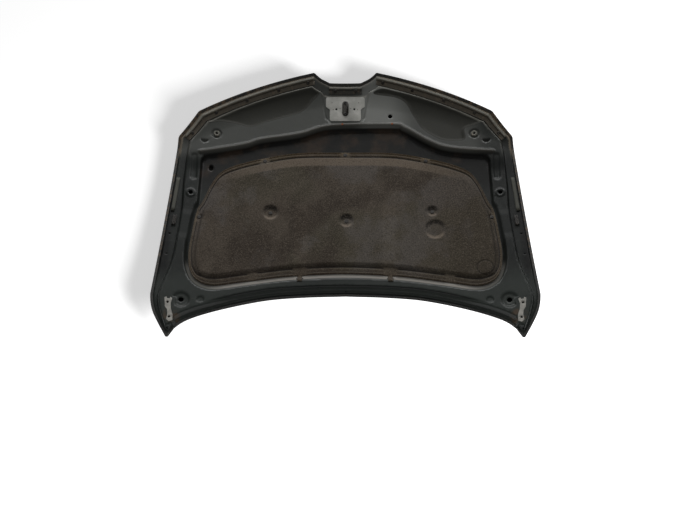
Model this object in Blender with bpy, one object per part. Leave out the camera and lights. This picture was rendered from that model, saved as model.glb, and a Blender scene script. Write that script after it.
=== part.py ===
# Car bonnet seen from its underside: it lies on its outer skin, underside up
# Metres; +X runs across the car, +Y towards the bonnet's front edge, +Z up

import bpy
import bmesh
import numpy as np
from math import ceil, cos, pi, sin
from mathutils import Matrix, Vector
from mathutils.bvhtree import BVHTree
from mathutils.geometry import delaunay_2d_cdt

# Outline in plan, right half
NOTCH_FLOOR_Y = 0.555
NOTCH_FLAT_HALF = 0.063
NOTCH_DEPTH = 0.030
NOTCH_TIP = (0.128, NOTCH_FLOOR_Y + NOTCH_DEPTH)
NOTCH_BOW = 0.004
NOTCH_ROOT_RADIUS = 0.030
FRONT_CORNER = (0.590, 0.390)
FRONT_BOW = 0.024
CHAMFER_END = (0.668, 0.284)
WIDEST = (0.712, -0.412)
HIP = (0.700, -0.474)
HORN_SIDE = (0.670, -0.535)
HORN_TIP = (0.636, -0.5983)
REAR_EDGE = ((0.614, -0.548), (0.561, -0.504), (0.446, -0.456), (0.294, -0.414), (0.150, -0.397))
REAR_CENTRE_Y = -0.391
TIP_RADIUS = 0.013
CORNER_RADIUS = 0.028

# Crown of the outer skin
CROWN_SIDE = 0.070
CROWN_POWER = 2.3
CROWN_FRONT = 0.035
CROWN_REAR = 0.020
CROWN_REACH = 0.500
REST_Y = 0.031
LIP_LINE_BACK = 0.007
LIP_LINE_Y = NOTCH_FLOOR_Y - LIP_LINE_BACK
LIP_LINE_DROP = 0.155
LIP_LINE_REACH = 0.550
LIP_WIDTH = 0.100
LIP_RISE = 0.035

# Sheets and the hem that folds the skin round the inner panel
SKIN_SHEET = 0.0008
PANEL_SHEET = 0.0007
HEM_GAP = 0.0005
HEM_WIDTH = 0.009
PANEL_EDGE_INSET = 0.0034
FLANGE_BASE = SKIN_SHEET + HEM_GAP

# Inner panel: flange, ledge and frame
FLANGE_WIDTH = 0.0115
LEDGE_RAMP = 0.004
LEDGE_RISE = 0.005
FRONT_LEDGE = 0.042
REAR_FLANGE = 0.020
FRAME_FRONT_START = 0.012
FRAME_REAR_STOP = 0.035
FRAME_WALL = 0.010
RAIL_FOOT = ((0.639, -0.561), (0.652, -0.538), (0.671, -0.490), (0.684, -0.440), (0.682, -0.405),
             (0.672, -0.362), (0.659, -0.312), (0.648, -0.259), (0.639, -0.145), (0.634, -0.040),
             (0.636, 0.072), (0.632, 0.198), (0.628, 0.250))
FRONT_RISE = 0.022
RAIL_RISE = 0.017
RAIL_STEP = 0.004
RAIL_STEP_FRONTS = (-0.043, -0.150)
RAIL_STEP_LENGTH = 0.025
RAIL_DROP_FRONT = 0.200
RAIL_DROP_LENGTH = 0.070
REAR_SHELF_DEPTH = 0.008
REAR_SHELF_WIDTH = 0.039
REAR_SHELF_HALF = 0.500
REAR_SHELF_WALL = 0.006

# Floor under the liner and the walls round it
FLOOR_HALF = 0.566
FLOOR_REAR_JOIN = -0.010
FLOOR_SIDE_JOIN = 0.100
FLOOR_FRONT_JOIN = 0.185
FLOOR_WALL = 0.010
REAR_CHAMFER = 0.022
LINER_MARGIN = 0.005

# Bead along the rear edge of the front beam
BEAD_LEFT = ((-0.576, 0.219), (-0.402, 0.267), (-0.335, 0.294))
BEAD_MIDDLE_BACKS = ((-0.183, 0.229), (-0.054, 0.189), (0.190, 0.186), (0.242, 0.203))
BEAD_RIGHT = ((0.340, 0.285), (0.418, 0.250), (0.582, 0.220))
BEAD_LINE = BEAD_LEFT + tuple((x, NOTCH_FLOOR_Y - back) for x, back in BEAD_MIDDLE_BACKS) + BEAD_RIGHT
BEAD_RADIUS = 0.009
BEAD_RISE = 0.009

# Pressed pockets of the front beam
POCKET_LEFT = ((-0.140, 0.524), (-0.108, 0.511), (-0.140, 0.474), (-0.182, 0.429), (-0.250, 0.404),
               (-0.316, 0.380), (-0.383, 0.353), (-0.440, 0.362), (-0.502, 0.364), (-0.545, 0.352),
               (-0.545, 0.368), (-0.441, 0.423), (-0.309, 0.478), (-0.200, 0.511))
POCKET_RIGHT = ((0.150, 0.520), (0.119, 0.507), (0.206, 0.490), (0.251, 0.462), (0.281, 0.405),
                (0.316, 0.345), (0.381, 0.297), (0.440, 0.284), (0.480, 0.290), (0.480, 0.335),
                (0.510, 0.345), (0.545, 0.352), (0.545, 0.368), (0.445, 0.420), (0.311, 0.476),
                (0.204, 0.508))
POCKET_DEPTH = 0.009
POCKET_WALL = 0.014

# Latch well, its plate and the striker
WELL_HALF_WIDTHS = (0.106, 0.100, 0.082, 0.060)
WELL_BACKS = (0.018, 0.055, 0.153, 0.177)
WELL_STATIONS = tuple(NOTCH_FLOOR_Y - back for back in WELL_BACKS)
WELL_WALL = 0.011
WELL_PLANE_BACK = 0.043
WELL_PLANE_LENGTH = 0.127
WELL_FRONT_Y = NOTCH_FLOOR_Y - WELL_PLANE_BACK
WELL_REAR_Y = WELL_FRONT_Y - WELL_PLANE_LENGTH
WELL_LIFT = 0.001
PLATE_FRONT_HALF = 0.080
PLATE_REAR_HALF = 0.064
PLATE_BACK = 0.009
PLATE_FRONT_Y = WELL_FRONT_Y - PLATE_BACK
PLATE_SHOULDER_BACK = 0.048
PLATE_SHOULDER_Y = PLATE_FRONT_Y - PLATE_SHOULDER_BACK
PLATE_SHOULDER = 0.006
PLATE_LENGTH = 0.104
PLATE_REAR_Y = PLATE_FRONT_Y - PLATE_LENGTH
PLATE_SHEET = 0.0015
PLATE_CORNER_RADIUS = 0.010
PLATE_HOLE_RADIUS = 0.0045
PLATE_HOLE_X = 0.037
PLATE_HOLE_BACK = 0.053
PLATE_HOLE_Y = PLATE_FRONT_Y - PLATE_HOLE_BACK
STRIKER_BACK = 0.051
STRIKER_Y = PLATE_FRONT_Y - STRIKER_BACK
STRIKER_WIDTH = 0.026
STRIKER_LENGTH = 0.066
STRIKER_THICKNESS = 0.003
STRIKER_RIVET_SPACING = 0.050
STRIKER_RIVET_RADIUS = 0.006
STRIKER_RIVET_HEIGHT = 0.003
LOOP_X = 0.009
LOOP_SPAN = 0.030
LOOP_HEIGHT = 0.032
LOOP_WIRE = 0.007
LOOP_BEND_RADIUS = 0.012

# Round features pressed in the panel: dish under each buffer bush, discs and holes
BUFFER = (0.518, 0.311)
BUFFER_DISH_RADIUS = 0.023
BUFFER_DISH_DEPTH = 0.005
BUSH_RADIUS = 0.013
BUSH_BORE = 0.004
BUSH_HEIGHT = 0.007
HALF_MOON = (0.564, 0.279)
HALF_MOON_RADIUS = 0.016
HALF_MOON_DEPTH = 0.005
FINGER_FRONT = (0.598, 0.200)
FINGER_REAR = (0.596, 0.108)
FINGER_RADIUS = 0.014
FINGER_DEPTH = 0.004
RAIL_HOLE = (0.601, 0.034)
RAIL_HOLE_RADIUS = 0.0075
RAIL_DISC_RADIUS = 0.021
RAIL_DISC_RISE = 0.002
CORNER_HOLE = (0.597, -0.436)
CORNER_HOLE_RADIUS = 0.009
CORNER_DISH_RADIUS = 0.034
CORNER_DISH_DEPTH = 0.005
REAR_DISC = (0.528, -0.431)
REAR_DISC_RADIUS = 0.015
REAR_DISC_DEPTH = 0.003
EMBOSS_WALL = 0.005
STAY_SLOT = (-0.533, 0.159)
STAY_SLOT_WIDTH = 0.015
STAY_SLOT_LENGTH = 0.023
BEAM_HOLE = (0.183, 0.409)
BEAM_HOLE_RADIUS = 0.0085

# Hinge pads, their reinforcement plates and weld nuts
HINGE_PAD = ((0.620, -0.430), (0.659, -0.430), (0.656, -0.470), (0.645, -0.507), (0.632, -0.536),
             (0.617, -0.534))
HINGE_PAD_CENTRE = (0.639, -0.480)
HINGE_PAD_WALL = 0.006
HINGE_BOLTS = ((0.642, -0.452), (0.631, -0.511))
HINGE_BOLT_HOLE = 0.0045
HINGE_PLATE_INSET = 0.004
HINGE_PLATE_SHEET = 0.002
WELD_NUT_RADIUS = 0.0075
WELD_NUT_BORE = 0.0041
WELD_NUT_HEIGHT = 0.0065

# Liner
LINER_EDGE = ((0.000, 0.252), (0.190, 0.247), (0.331, 0.216), (0.432, 0.180), (0.492, 0.142),
              (0.526, 0.086), (0.555, 0.003), (0.574, -0.044), (0.586, -0.153), (0.590, -0.236),
              (0.579, -0.302), (0.549, -0.346), (0.489, -0.363), (0.379, -0.341), (0.208, -0.311),
              (0.000, -0.298))
LINER_FLANGE = 0.0035
LINER_BODY = 0.013
LINER_FLANGE_FRONT = 0.024
LINER_FLANGE_SIDE = 0.012
LINER_FLANGE_REAR = 0.036
LINER_BEVEL_FRONT = 0.046
LINER_BEVEL_SIDE = 0.022
LINER_BEVEL_REAR = 0.010
DIMPLES = {"left": (-0.291, -0.034, 0.037), "centre": (0.005, -0.066, 0.034),
           "right": (0.338, -0.031, 0.028)}
WIDE_DIMPLE = (0.346, -0.113, 0.047)
DIMPLE_FLOOR = 0.004
DIMPLE_WALL = 0.018
WIDE_DIMPLE_FLOOR = 0.008
TAB_X = 0.170
TAB_WIDTH = 0.019
TAB_END_Y = -0.340
TAB_CLEARANCE = 0.008
TAB_SLOT = (0.027, -0.319, -0.328)
FLANGE_CLIPS = {"front_left": (-0.322, 0.204), "front_centre": (0.0, 0.239),
                "front_right": (0.322, 0.204), "side_left": (-0.563, -0.070),
                "side_right": (0.563, -0.070)}
CLIP_PAD_RADIUS = 0.010
CLIP_PAD_WALL = 0.004

# Push clips
CLIP_HEAD = 0.0080
CLIP_HEAD_HEIGHT = 0.0022
CLIP_STEM = 0.0026
CLIP_HOLE = 0.0046
CLIP_STEM_REACH = 0.0020
SEAL_CLIP_HEAD = 0.0065
DOME_TOP = 0.75

# Rubber seals
SEAL_INSET = 0.0165
SEAL_WIDTH = 0.024
SEAL_BASE = 0.0025
SEAL_BULB = 0.009
SEAL_BULB_WIDTH = 0.010
BULB_CROWN = ((0.85, 0.8), (0.45, 1.0), (0.1, 0.75))
SEAL_CLIP_INSET = 0.0345
SEAL_END_GAP = 0.010
CENTRE_SEAL_HALF = 0.068
SEAL_CLIP_PARTS = (0.05, 0.28, 0.51, 0.74, 0.95)
CENTRE_CLIP_X = 0.042
SIDE_SEAL_FRONT = 0.100
SIDE_SEAL_REAR = -0.050
SIDE_SEAL_INSET = 0.0175
SIDE_SEAL_WIDTH = 0.014
SIDE_SEAL_HEIGHT = 0.005
SIDE_CLIP_Y = -0.092
SIDE_CLIP_INSET = 0.030
SIDE_CLIP_LENGTH = 0.042
SIDE_CLIP_WIDTH = 0.014
SIDE_CLIP_HEIGHT = 0.009

# Sections of the side strip and side clip, as parts of their width and height
STRIP_SECTION = ((0.0, 0.0), (1.0, 0.0), (1.0, 0.6), (0.7, 1.0), (0.2, 1.0), (0.0, 0.6))
HOOK_SECTION = ((0.0, 0.0), (1.0, 0.0), (1.0, 1.0), (0.72, 1.0), (0.72, 0.35), (0.32, 0.35), (0.32, 0.8),
                (0.0, 0.8))

# Small plugs that close the bead's two paint drains
RIDGE_PLUGS = ((-0.012, 0.368), (0.190, 0.369))
RIDGE_PLUG_RADIUS = 0.0045
RIDGE_PLUG_HEIGHT = 0.0015

# Clearances between pieces that touch on the real bonnet, and the mesh's own steps
SEAT_GAP = 0.0004
LINER_GAP = 0.0008
SEAL_GAP = 0.0006
EDGE_STEP = 0.066
FEATURE_STEP = 0.050
GRID_STEP = 0.085
ROUND_SIDES = 10
HOLE_SIDES = 8
CLIP_SIDES = 6
ROW_PITCH = 0.866
KEPT_INSET = 0.96
SHARPEST_CORNER = 0.6
LONGEST_FILLET = 0.45

# Colour, roughness and metallic of each finish
FINISHES = {"skin_paint": ((0.018, 0.020, 0.019), 0.35, 0.0),
            "panel_paint": ((0.026, 0.028, 0.027), 0.45, 0.0),
            "felt": ((0.045, 0.038, 0.032), 0.95, 0.0),
            "rubber": ((0.024, 0.023, 0.021), 0.8, 0.0),
            "clip_plastic": ((0.018, 0.017, 0.016), 0.6, 0.0),
            "primer": ((0.22, 0.22, 0.21), 0.5, 0.2),
            "zinc": ((0.30, 0.30, 0.29), 0.4, 0.8),
            "rust": ((0.30, 0.10, 0.03), 0.9, 0.1)}


def fillet(before, corner, after, radius, sides):
    a, c, b = (np.array(p, float) for p in (before, corner, after))
    u = (a - c) / np.linalg.norm(a - c)
    v = (b - c) / np.linalg.norm(b - c)
    half = np.arccos(np.clip(u @ v, -1, 1)) / 2
    reach = min(radius / np.tan(half), LONGEST_FILLET * np.linalg.norm(a - c),
                LONGEST_FILLET * np.linalg.norm(b - c))
    middle = (u + v) / np.linalg.norm(u + v)
    centre = c + middle * reach / cos(half)
    start = c + u * reach - centre
    end = c + v * reach - centre
    turn = np.arctan2(start[0] * end[1] - start[1] * end[0], start @ end)
    angles = np.linspace(0, turn, sides + 1)
    return [tuple(centre + np.array((start[0] * cos(t) - start[1] * sin(t),
                                     start[0] * sin(t) + start[1] * cos(t)))) for t in angles]


def bow(start, end, rise, pieces):
    a, b = np.array(start, float), np.array(end, float)
    along = b - a
    left = np.array((-along[1], along[0])) / np.linalg.norm(along)
    return [tuple(a + along * t + left * rise * 4 * t * (1 - t)) for t in np.linspace(0, 1, pieces + 1)]


def spline(points, step, closed=False, least=1):
    pts = np.array(points, float)
    count = len(pts)
    spans = count if closed else count - 1
    result = []
    for i in range(spans):
        p1, p2 = pts[i], pts[(i + 1) % count]
        p0 = pts[i - 1] if closed or i else 2 * p1 - p2
        p3 = pts[(i + 2) % count] if closed or i + 2 < count else 2 * p2 - p1
        pieces = max(least, round(np.linalg.norm(p2 - p1) / step))
        for k in range(pieces):
            t = k / pieces
            result.append(0.5 * (2 * p1 + (p2 - p0) * t + (2 * p0 - 5 * p1 + 4 * p2 - p3) * t ** 2
                                 + (3 * p1 - p0 - 3 * p2 + p3) * t ** 3))
    if not closed:
        result.append(pts[-1])
    return np.array(result)


def split_long(loop, step_at):
    result = []
    for a, b in zip(loop, np.roll(loop, -1, axis=0)):
        pieces = max(1, ceil(np.linalg.norm(b - a) / step_at((a + b) / 2)))
        result.extend(a + (b - a) * k / pieces for k in range(pieces))
    return np.array(result)


def mirrored(half):
    # A half that runs from the front centre down the right side gives a loop that turns left
    other = half[::-1] * (-1, 1)
    loop = np.vstack((half, other))
    keep = np.linalg.norm(loop - np.roll(loop, 1, axis=0), axis=1) > 1e-6
    return loop[keep][::-1]


def flipped(loop):
    return loop[::-1] * (-1, 1)


def segment_distance(points, line, closed):
    a = line if closed else line[:-1]
    b = np.roll(line, -1, axis=0) if closed else line[1:]
    along = b - a
    reach = points[:, None, :] - a[None]
    t = np.clip((reach * along).sum(2) / (along * along).sum(1), 0, 1)
    return np.sqrt(((reach - t[..., None] * along) ** 2).sum(2)).min(1)


def inside(points, loop):
    x, y = points[:, :1], points[:, 1:]
    a, b = loop, np.roll(loop, -1, axis=0)
    rises = (a[:, 1] > y) != (b[:, 1] > y)
    run = np.where(b[:, 1] == a[:, 1], 1e-12, b[:, 1] - a[:, 1])
    cross = a[:, 0] + (y - a[:, 1]) * (b[:, 0] - a[:, 0]) / run
    return ((rises & (x < cross)).sum(1) % 2) == 1


def depth_in(points, loop):
    distance = segment_distance(points, loop, True)
    return np.where(inside(points, loop), distance, -distance)


def inward(loop):
    # Unit vectors into a loop that turns left, and the stretch that keeps parallel sides parallel
    along = np.roll(loop, -1, axis=0) - loop
    along = along / np.linalg.norm(along, axis=1)[:, None]
    left = np.stack((-along[:, 1], along[:, 0]), 1)
    both = left + np.roll(left, 1, axis=0)
    both = both / np.linalg.norm(both, axis=1)[:, None]
    return both, 1 / np.maximum((both * left).sum(1), SHARPEST_CORNER)


def inset(loop, width):
    into, stretch = inward(loop)
    return loop + into * (stretch * width)[:, None]


def inset_line(loop, width):
    moved = inset(loop, width)
    return moved[segment_distance(moved, loop, True) > KEPT_INSET * width]


def circle(centre, radius, sides=ROUND_SIDES):
    angles = np.arange(sides) * 2 * pi / sides
    return np.stack((centre[0] + radius * np.cos(angles), centre[1] + radius * np.sin(angles)), 1)


def capsule(front, rear, radius, sides=ROUND_SIDES):
    half = np.linspace(0, pi, sides // 2 + 1)
    ends = [(front, half), (rear, half + pi)]
    return np.vstack([np.stack((c[0] + radius * np.cos(t), c[1] + radius * np.sin(t)), 1) for c, t in ends])


def bonnet_outline():
    front = bow(NOTCH_TIP, FRONT_CORNER, FRONT_BOW, 8)
    notch = bow((NOTCH_FLAT_HALF, NOTCH_FLOOR_Y), NOTCH_TIP, -NOTCH_BOW, 2)
    horn = spline((CHAMFER_END, WIDEST, HIP, HORN_SIDE, HORN_TIP), EDGE_STEP)
    side = [CHAMFER_END, WIDEST]
    bend = [tuple(p) for p in horn[1:] if p[1] < WIDEST[1] - 1e-6]
    rear = (HORN_TIP,) + REAR_EDGE + ((0.0, REAR_CENTRE_Y),)
    rear = [tuple(p) for p in spline(rear, EDGE_STEP, least=2)]
    half = [(0.0, NOTCH_FLOOR_Y)]
    half += fillet((0.0, NOTCH_FLOOR_Y), notch[0], notch[1], NOTCH_ROOT_RADIUS, 2)
    half += notch[1:-1]
    half += fillet(notch[-2], NOTCH_TIP, front[1], TIP_RADIUS, 3)
    half += front[1:-1]
    half += fillet(front[-2], FRONT_CORNER, CHAMFER_END, CORNER_RADIUS, 2)
    half += fillet(FRONT_CORNER, CHAMFER_END, WIDEST, CORNER_RADIUS, 2)
    half += [side[1]] + bend[:-1]
    half += fillet(bend[-2], HORN_TIP, rear[2], TIP_RADIUS, 6)
    half += rear[2:]
    side_end = CHAMFER_END[1] - LIP_WIDTH

    def step_at(middle):
        return EDGE_STEP / 2 if abs(middle[0]) > FRONT_CORNER[0] and middle[1] > side_end else EDGE_STEP

    return split_long(mirrored(np.array(half)), step_at)


OUTLINE = bonnet_outline()
LINER_LOOP = spline(mirrored(np.array(LINER_EDGE)), FEATURE_STEP, closed=True)
BEAD = spline(BEAD_LINE, FEATURE_STEP)


def skin_z(x, y):
    side = CROWN_SIDE * (np.abs(x) / WIDEST[0]) ** CROWN_POWER
    along = (y - REST_Y) / CROWN_REACH
    fore = np.where(along > 0, CROWN_FRONT, CROWN_REAR) * along ** 2
    lip_line = LIP_LINE_Y - LIP_LINE_DROP * (x / LIP_LINE_REACH) ** 2
    lift = np.maximum(1 - (lip_line - y) / LIP_WIDTH, 0)
    return side + fore + LIP_RISE * np.where(lift < 1, lift ** 2, 2 * lift - 1)


def skin_slopes(x, y):
    step = 1e-4
    slope_x = (skin_z(x + step, y) - skin_z(x - step, y)) / (2 * step)
    slope_y = (skin_z(x, y + step) - skin_z(x, y - step)) / (2 * step)
    return slope_x, slope_y


def skin_points(xy, height):
    # Points a given height above the skin's outer face, measured square to it
    x, y = xy[:, 0], xy[:, 1]
    slope_x, slope_y = skin_slopes(x, y)
    normal = np.stack((-slope_x, -slope_y, np.ones(len(x))), 1)
    normal = normal / np.linalg.norm(normal, axis=1)[:, None]
    return np.stack((x, y, skin_z(x, y)), 1) + normal * height


def above_skin(x, y, height):
    # The same height measured straight up
    slope_x, slope_y = skin_slopes(x, y)
    return skin_z(x, y) + height * np.sqrt(1 + slope_x ** 2 + slope_y ** 2)


def ramp(depth, width):
    return np.clip(depth / width, 0, 1)


def ramp_between(points, outer, inner):
    to_outer = segment_distance(points, outer, True)
    to_inner = segment_distance(points, inner, True)
    part = to_outer / np.maximum(to_outer + to_inner, 1e-9)
    return np.where(inside(points, inner), 1.0, np.where(inside(points, outer), part, 0.0))


def outer_part(test):
    # Outline points that pass a test, in the loop's own order and unbroken
    chosen = test(OUTLINE)
    start = next(i for i in range(len(chosen)) if chosen[i] and not chosen[i - 1])
    order = np.roll(np.arange(len(chosen)), -start)
    return OUTLINE[order][chosen[order]], order[chosen[order]]


def frame_foot():
    into, stretch = inward(OUTLINE)
    rail = spline(RAIL_FOOT, FEATURE_STEP)
    front, index = outer_part(lambda p: p[:, 1] > CHAMFER_END[1] - FRAME_FRONT_START)
    front = front + into[index] * (stretch[index] * FRONT_LEDGE)[:, None]
    front = front[segment_distance(front, OUTLINE, True) > KEPT_INSET * FRONT_LEDGE]
    rear_half = HORN_TIP[0] - FRAME_REAR_STOP
    rear, index = outer_part(lambda p: (np.abs(p[:, 0]) < rear_half) & (p[:, 1] < 0))
    rear = rear + into[index] * (stretch[index] * REAR_FLANGE)[:, None]
    return np.vstack((rear, rail, front, flipped(rail)))


def floor_loops():
    into, stretch = inward(LINER_LOOP)
    chosen = LINER_LOOP[:, 1] < FLOOR_REAR_JOIN
    start = next(i for i in range(len(chosen)) if chosen[i] and not chosen[i - 1])
    order = np.roll(np.arange(len(chosen)), -start)
    order = order[chosen[order]]
    back = np.maximum(into[order, 1], 0) ** 2
    wall = FLOOR_WALL + (REAR_CHAMFER - FLOOR_WALL) * back
    foot = LINER_LOOP[order] - into[order] * (stretch[order] * LINER_MARGIN)[:, None]
    top = LINER_LOOP[order] - into[order] * (stretch[order] * (LINER_MARGIN + wall))[:, None]
    loops = []
    for chain, half, back_off in ((foot, FLOOR_HALF, BEAD_RADIUS + FLOOR_WALL),
                                  (top, FLOOR_HALF + FLOOR_WALL, BEAD_RADIUS)):
        bead = BEAD[np.abs(BEAD[:, 0]) < half - FLOOR_WALL] - (0, back_off)
        right = np.array(((half, FLOOR_SIDE_JOIN), (half, FLOOR_FRONT_JOIN)))
        left = right[::-1] * (-1, 1)
        loops.append(np.vstack((chain, right, bead[::-1], left)))
    return loops[1], loops[0]


def rear_shelf():
    into, stretch = inward(OUTLINE)
    chain, index = outer_part(lambda p: (np.abs(p[:, 0]) < REAR_SHELF_HALF) & (p[:, 1] < 0))
    near = chain + into[index] * (stretch[index] * FLANGE_WIDTH)[:, None]
    far = chain + into[index] * (stretch[index] * REAR_SHELF_WIDTH)[:, None]
    return np.vstack((near, far[::-1]))


def well_loop():
    right = np.stack((WELL_HALF_WIDTHS, WELL_STATIONS), 1)
    return mirrored(right)


def half_moon_loop():
    turn = np.linspace(pi, 2 * pi, 7)
    return np.stack((HALF_MOON[0] + HALF_MOON_RADIUS * np.cos(turn),
                     HALF_MOON[1] + HALF_MOON_RADIUS * np.sin(turn)), 1)


FRAME_FOOT = frame_foot()
FLOOR_TOP, FLOOR_FOOT = floor_loops()
REAR_SHELF = rear_shelf()
WELL = well_loop()
PAD = np.array(HINGE_PAD)[::-1]


def embosses():
    # Each pressed feature of the frame: its loop, the depth of its floor and its wall width
    found = [(spline(POCKET_LEFT, FEATURE_STEP, True)[::-1], POCKET_DEPTH, POCKET_WALL),
             (spline(POCKET_RIGHT, FEATURE_STEP, True), POCKET_DEPTH, POCKET_WALL)]
    paired = [(circle(BUFFER, BUFFER_DISH_RADIUS), BUFFER_DISH_DEPTH, EMBOSS_WALL),
              (half_moon_loop(), HALF_MOON_DEPTH, EMBOSS_WALL),
              (capsule(FINGER_FRONT, FINGER_REAR, FINGER_RADIUS), FINGER_DEPTH, EMBOSS_WALL),
              (circle(RAIL_HOLE, RAIL_DISC_RADIUS), -RAIL_DISC_RISE, EMBOSS_WALL),
              (circle(CORNER_HOLE, CORNER_DISH_RADIUS), CORNER_DISH_DEPTH, 2 * EMBOSS_WALL),
              (circle(REAR_DISC, REAR_DISC_RADIUS), REAR_DISC_DEPTH, EMBOSS_WALL)]
    for loop, depth, wall in paired:
        found += [(loop, depth, wall), (flipped(loop), depth, wall)]
    return found


EMBOSSES = embosses()


def well_plane(y):
    # The well's floor is flat across the crown and follows the skin's chord along the car
    front = skin_z(0.0, WELL_FRONT_Y)
    rear = skin_z(0.0, WELL_REAR_Y)
    part = (y - WELL_REAR_Y) / (WELL_FRONT_Y - WELL_REAR_Y)
    return rear + (front - rear) * part + FLANGE_BASE + LEDGE_RISE + WELL_LIFT


def well_z(x, y):
    return np.maximum(well_plane(y), skin_z(x, y) + FLANGE_BASE + LEDGE_RISE)


def pad_plane(x, y):
    slope_x, slope_y = (float(s) for s in skin_slopes(*HINGE_PAD_CENTRE))
    height = float(skin_z(*HINGE_PAD_CENTRE)) + FLANGE_BASE + rail_rise(np.array([HINGE_PAD_CENTRE[1]]))[0]
    return height + slope_x * (np.abs(x) - HINGE_PAD_CENTRE[0]) + slope_y * (y - HINGE_PAD_CENTRE[1])


def rail_rise(y):
    drop = ramp(RAIL_DROP_FRONT - y, RAIL_DROP_LENGTH)
    rise = FRONT_RISE + (RAIL_RISE - FRONT_RISE) * drop
    for start in RAIL_STEP_FRONTS:
        rise = rise + RAIL_STEP * ramp(start - y, RAIL_STEP_LENGTH)
    return rise


def panel_z(x, y):
    # Lower face of the inner panel
    points = np.stack((x, y), 1)
    off_flange = depth_in(points, OUTLINE) - FLANGE_WIDTH
    rise = LEDGE_RISE * ramp(off_flange, LEDGE_RAMP)
    frame = ramp(np.minimum(depth_in(points, FRAME_FOOT), off_flange), FRAME_WALL)
    bead = np.sqrt(np.maximum(1 - (segment_distance(points, BEAD, False) / BEAD_RADIUS) ** 2, 0))
    top = rail_rise(y) + BEAD_RISE * bead
    top = top - REAR_SHELF_DEPTH * ramp(depth_in(points, REAR_SHELF), REAR_SHELF_WALL)
    for loop, depth, wall in EMBOSSES:
        top = top - depth * ramp(depth_in(points, loop), wall)
    rise = rise + (top - LEDGE_RISE) * frame
    rise = rise + (LEDGE_RISE - rise) * ramp_between(points, FLOOR_TOP, FLOOR_FOOT)
    z = above_skin(x, y, FLANGE_BASE) + rise
    z = z + (well_z(x, y) - z) * ramp(depth_in(points, WELL), WELL_WALL)
    for pad in (PAD, flipped(PAD)):
        near = depth_in(points, pad) + HINGE_PAD_WALL
        z = z + (pad_plane(x, y) - z) * ramp(near, HINGE_PAD_WALL)
    return z


def panel_top(x, y):
    return panel_z(np.atleast_1d(x).astype(float), np.atleast_1d(y).astype(float)) + PANEL_SHEET


def plan_mesh(outline, holes, creases, spacing):
    # Triangles in plan that follow an outline, its holes and a set of crease lines
    lines = [(outline, True)] + [(h, True) for h in holes] + creases
    verts, edges = [], []
    for line, closed in lines:
        first = len(verts)
        verts.extend(map(tuple, line))
        last = len(line) if closed else len(line) - 1
        edges.extend((first + i, first + (i + 1) % len(line)) for i in range(last))
    low, high = outline.min(0), outline.max(0)
    pitch = spacing * ROW_PITCH
    rows = int((high[1] - low[1]) / pitch) + 1
    columns = int((high[0] - low[0]) / spacing) + 1
    grid = np.array([(low[0] + (c + (r % 2) / 2 + 0.25) * spacing, low[1] + (r + 0.5) * pitch)
                     for r in range(rows) for c in range(columns)])
    grid = grid[inside(grid, outline)]
    clear = np.min([segment_distance(grid, line, closed) for line, closed in lines], axis=0)
    verts.extend(map(tuple, grid[clear > 0.5 * spacing]))
    found = delaunay_2d_cdt([Vector(v) for v in verts], edges, [], 1, 1e-5)
    points = np.array([tuple(v) for v in found[0]])
    faces = np.array([tuple(f) for f in found[2]])
    middle = points[faces].mean(1)
    keep = np.ones(len(faces), bool)
    for hole in holes:
        keep &= ~inside(middle, hole)
    return points, faces[keep]


def new_object(name, verts, faces, material, closed=True):
    mesh = bpy.data.meshes.new(name)
    mesh.from_pydata([tuple(v) for v in verts], [], [tuple(int(i) for i in f) for f in faces])
    bm = bmesh.new()
    bm.from_mesh(mesh)
    bmesh.ops.delete(bm, geom=[v for v in bm.verts if not v.link_faces], context="VERTS")
    if closed:
        bmesh.ops.recalc_face_normals(bm, faces=bm.faces)
    bm.to_mesh(mesh)
    bm.free()
    mesh.shade_smooth()
    mesh.set_sharp_from_angle(angle=pi / 6)
    piece = bpy.data.objects.new(name, mesh)
    bpy.context.scene.collection.objects.link(piece)
    piece.data.materials.append(finish(material))
    return piece


def finish(name):
    found = bpy.data.materials.get(name)
    if found:
        return found
    colour, roughness, metallic = FINISHES[name]
    found = bpy.data.materials.new(name)
    found.use_nodes = True
    shader = found.node_tree.nodes["Principled BSDF"]
    shader.inputs["Base Color"].default_value = (*colour, 1.0)
    shader.inputs["Roughness"].default_value = roughness
    shader.inputs["Metallic"].default_value = metallic
    return found


def hem_rows():
    # The skin's section at its edge, as inset and height: round the outside, then back inside
    high = 2 * SKIN_SHEET + 2 * HEM_GAP + PANEL_SHEET
    outer = high / 2
    outside = [(outer, 0.0), (0.0, outer), (outer, high), (HEM_WIDTH, high)]
    back = [(HEM_WIDTH, high - SKIN_SHEET), (SKIN_SHEET, high - SKIN_SHEET), (outer, SKIN_SHEET)]
    return outside, back


def make_skin():
    outside, back = hem_rows()
    edge = inset(OUTLINE, outside[0][0])
    creases = [(inset_line(OUTLINE, width), True) for width in (HEM_WIDTH, FRONT_LEDGE / 2, FRONT_LEDGE)]
    lip, _ = outer_part(lambda p: p[:, 1] > CHAMFER_END[1])
    creases.append((lip - (0, 2 * FRONT_LEDGE), False))
    creases.append((np.array(((0.0, REST_Y), (FEATURE_STEP, REST_Y))), False))
    points, faces = plan_mesh(edge, [], creases, GRID_STEP)
    count = len(OUTLINE)
    order = [int(np.argmin(np.linalg.norm(points - p, axis=1))) for p in edge]
    verts = list(skin_points(points, 0.0)) + list(skin_points(points, SKIN_SHEET))
    above = len(points)
    triangles = [tuple(f[::-1]) for f in faces] + [tuple(f + above) for f in faces]
    rows = [order]
    for width, height in outside[1:] + back[:-1]:
        first = len(verts)
        verts += list(skin_points(inset(OUTLINE, width), height))
        rows.append(list(range(first, first + count)))
    rows.append([i + above for i in order])
    for low, high in zip(rows[:-1], rows[1:]):
        for i in range(count):
            j = (i + 1) % count
            triangles.append((low[i], low[j], high[j], high[i]))
    return new_object("outer_skin", verts, triangles, "skin_paint")


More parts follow.
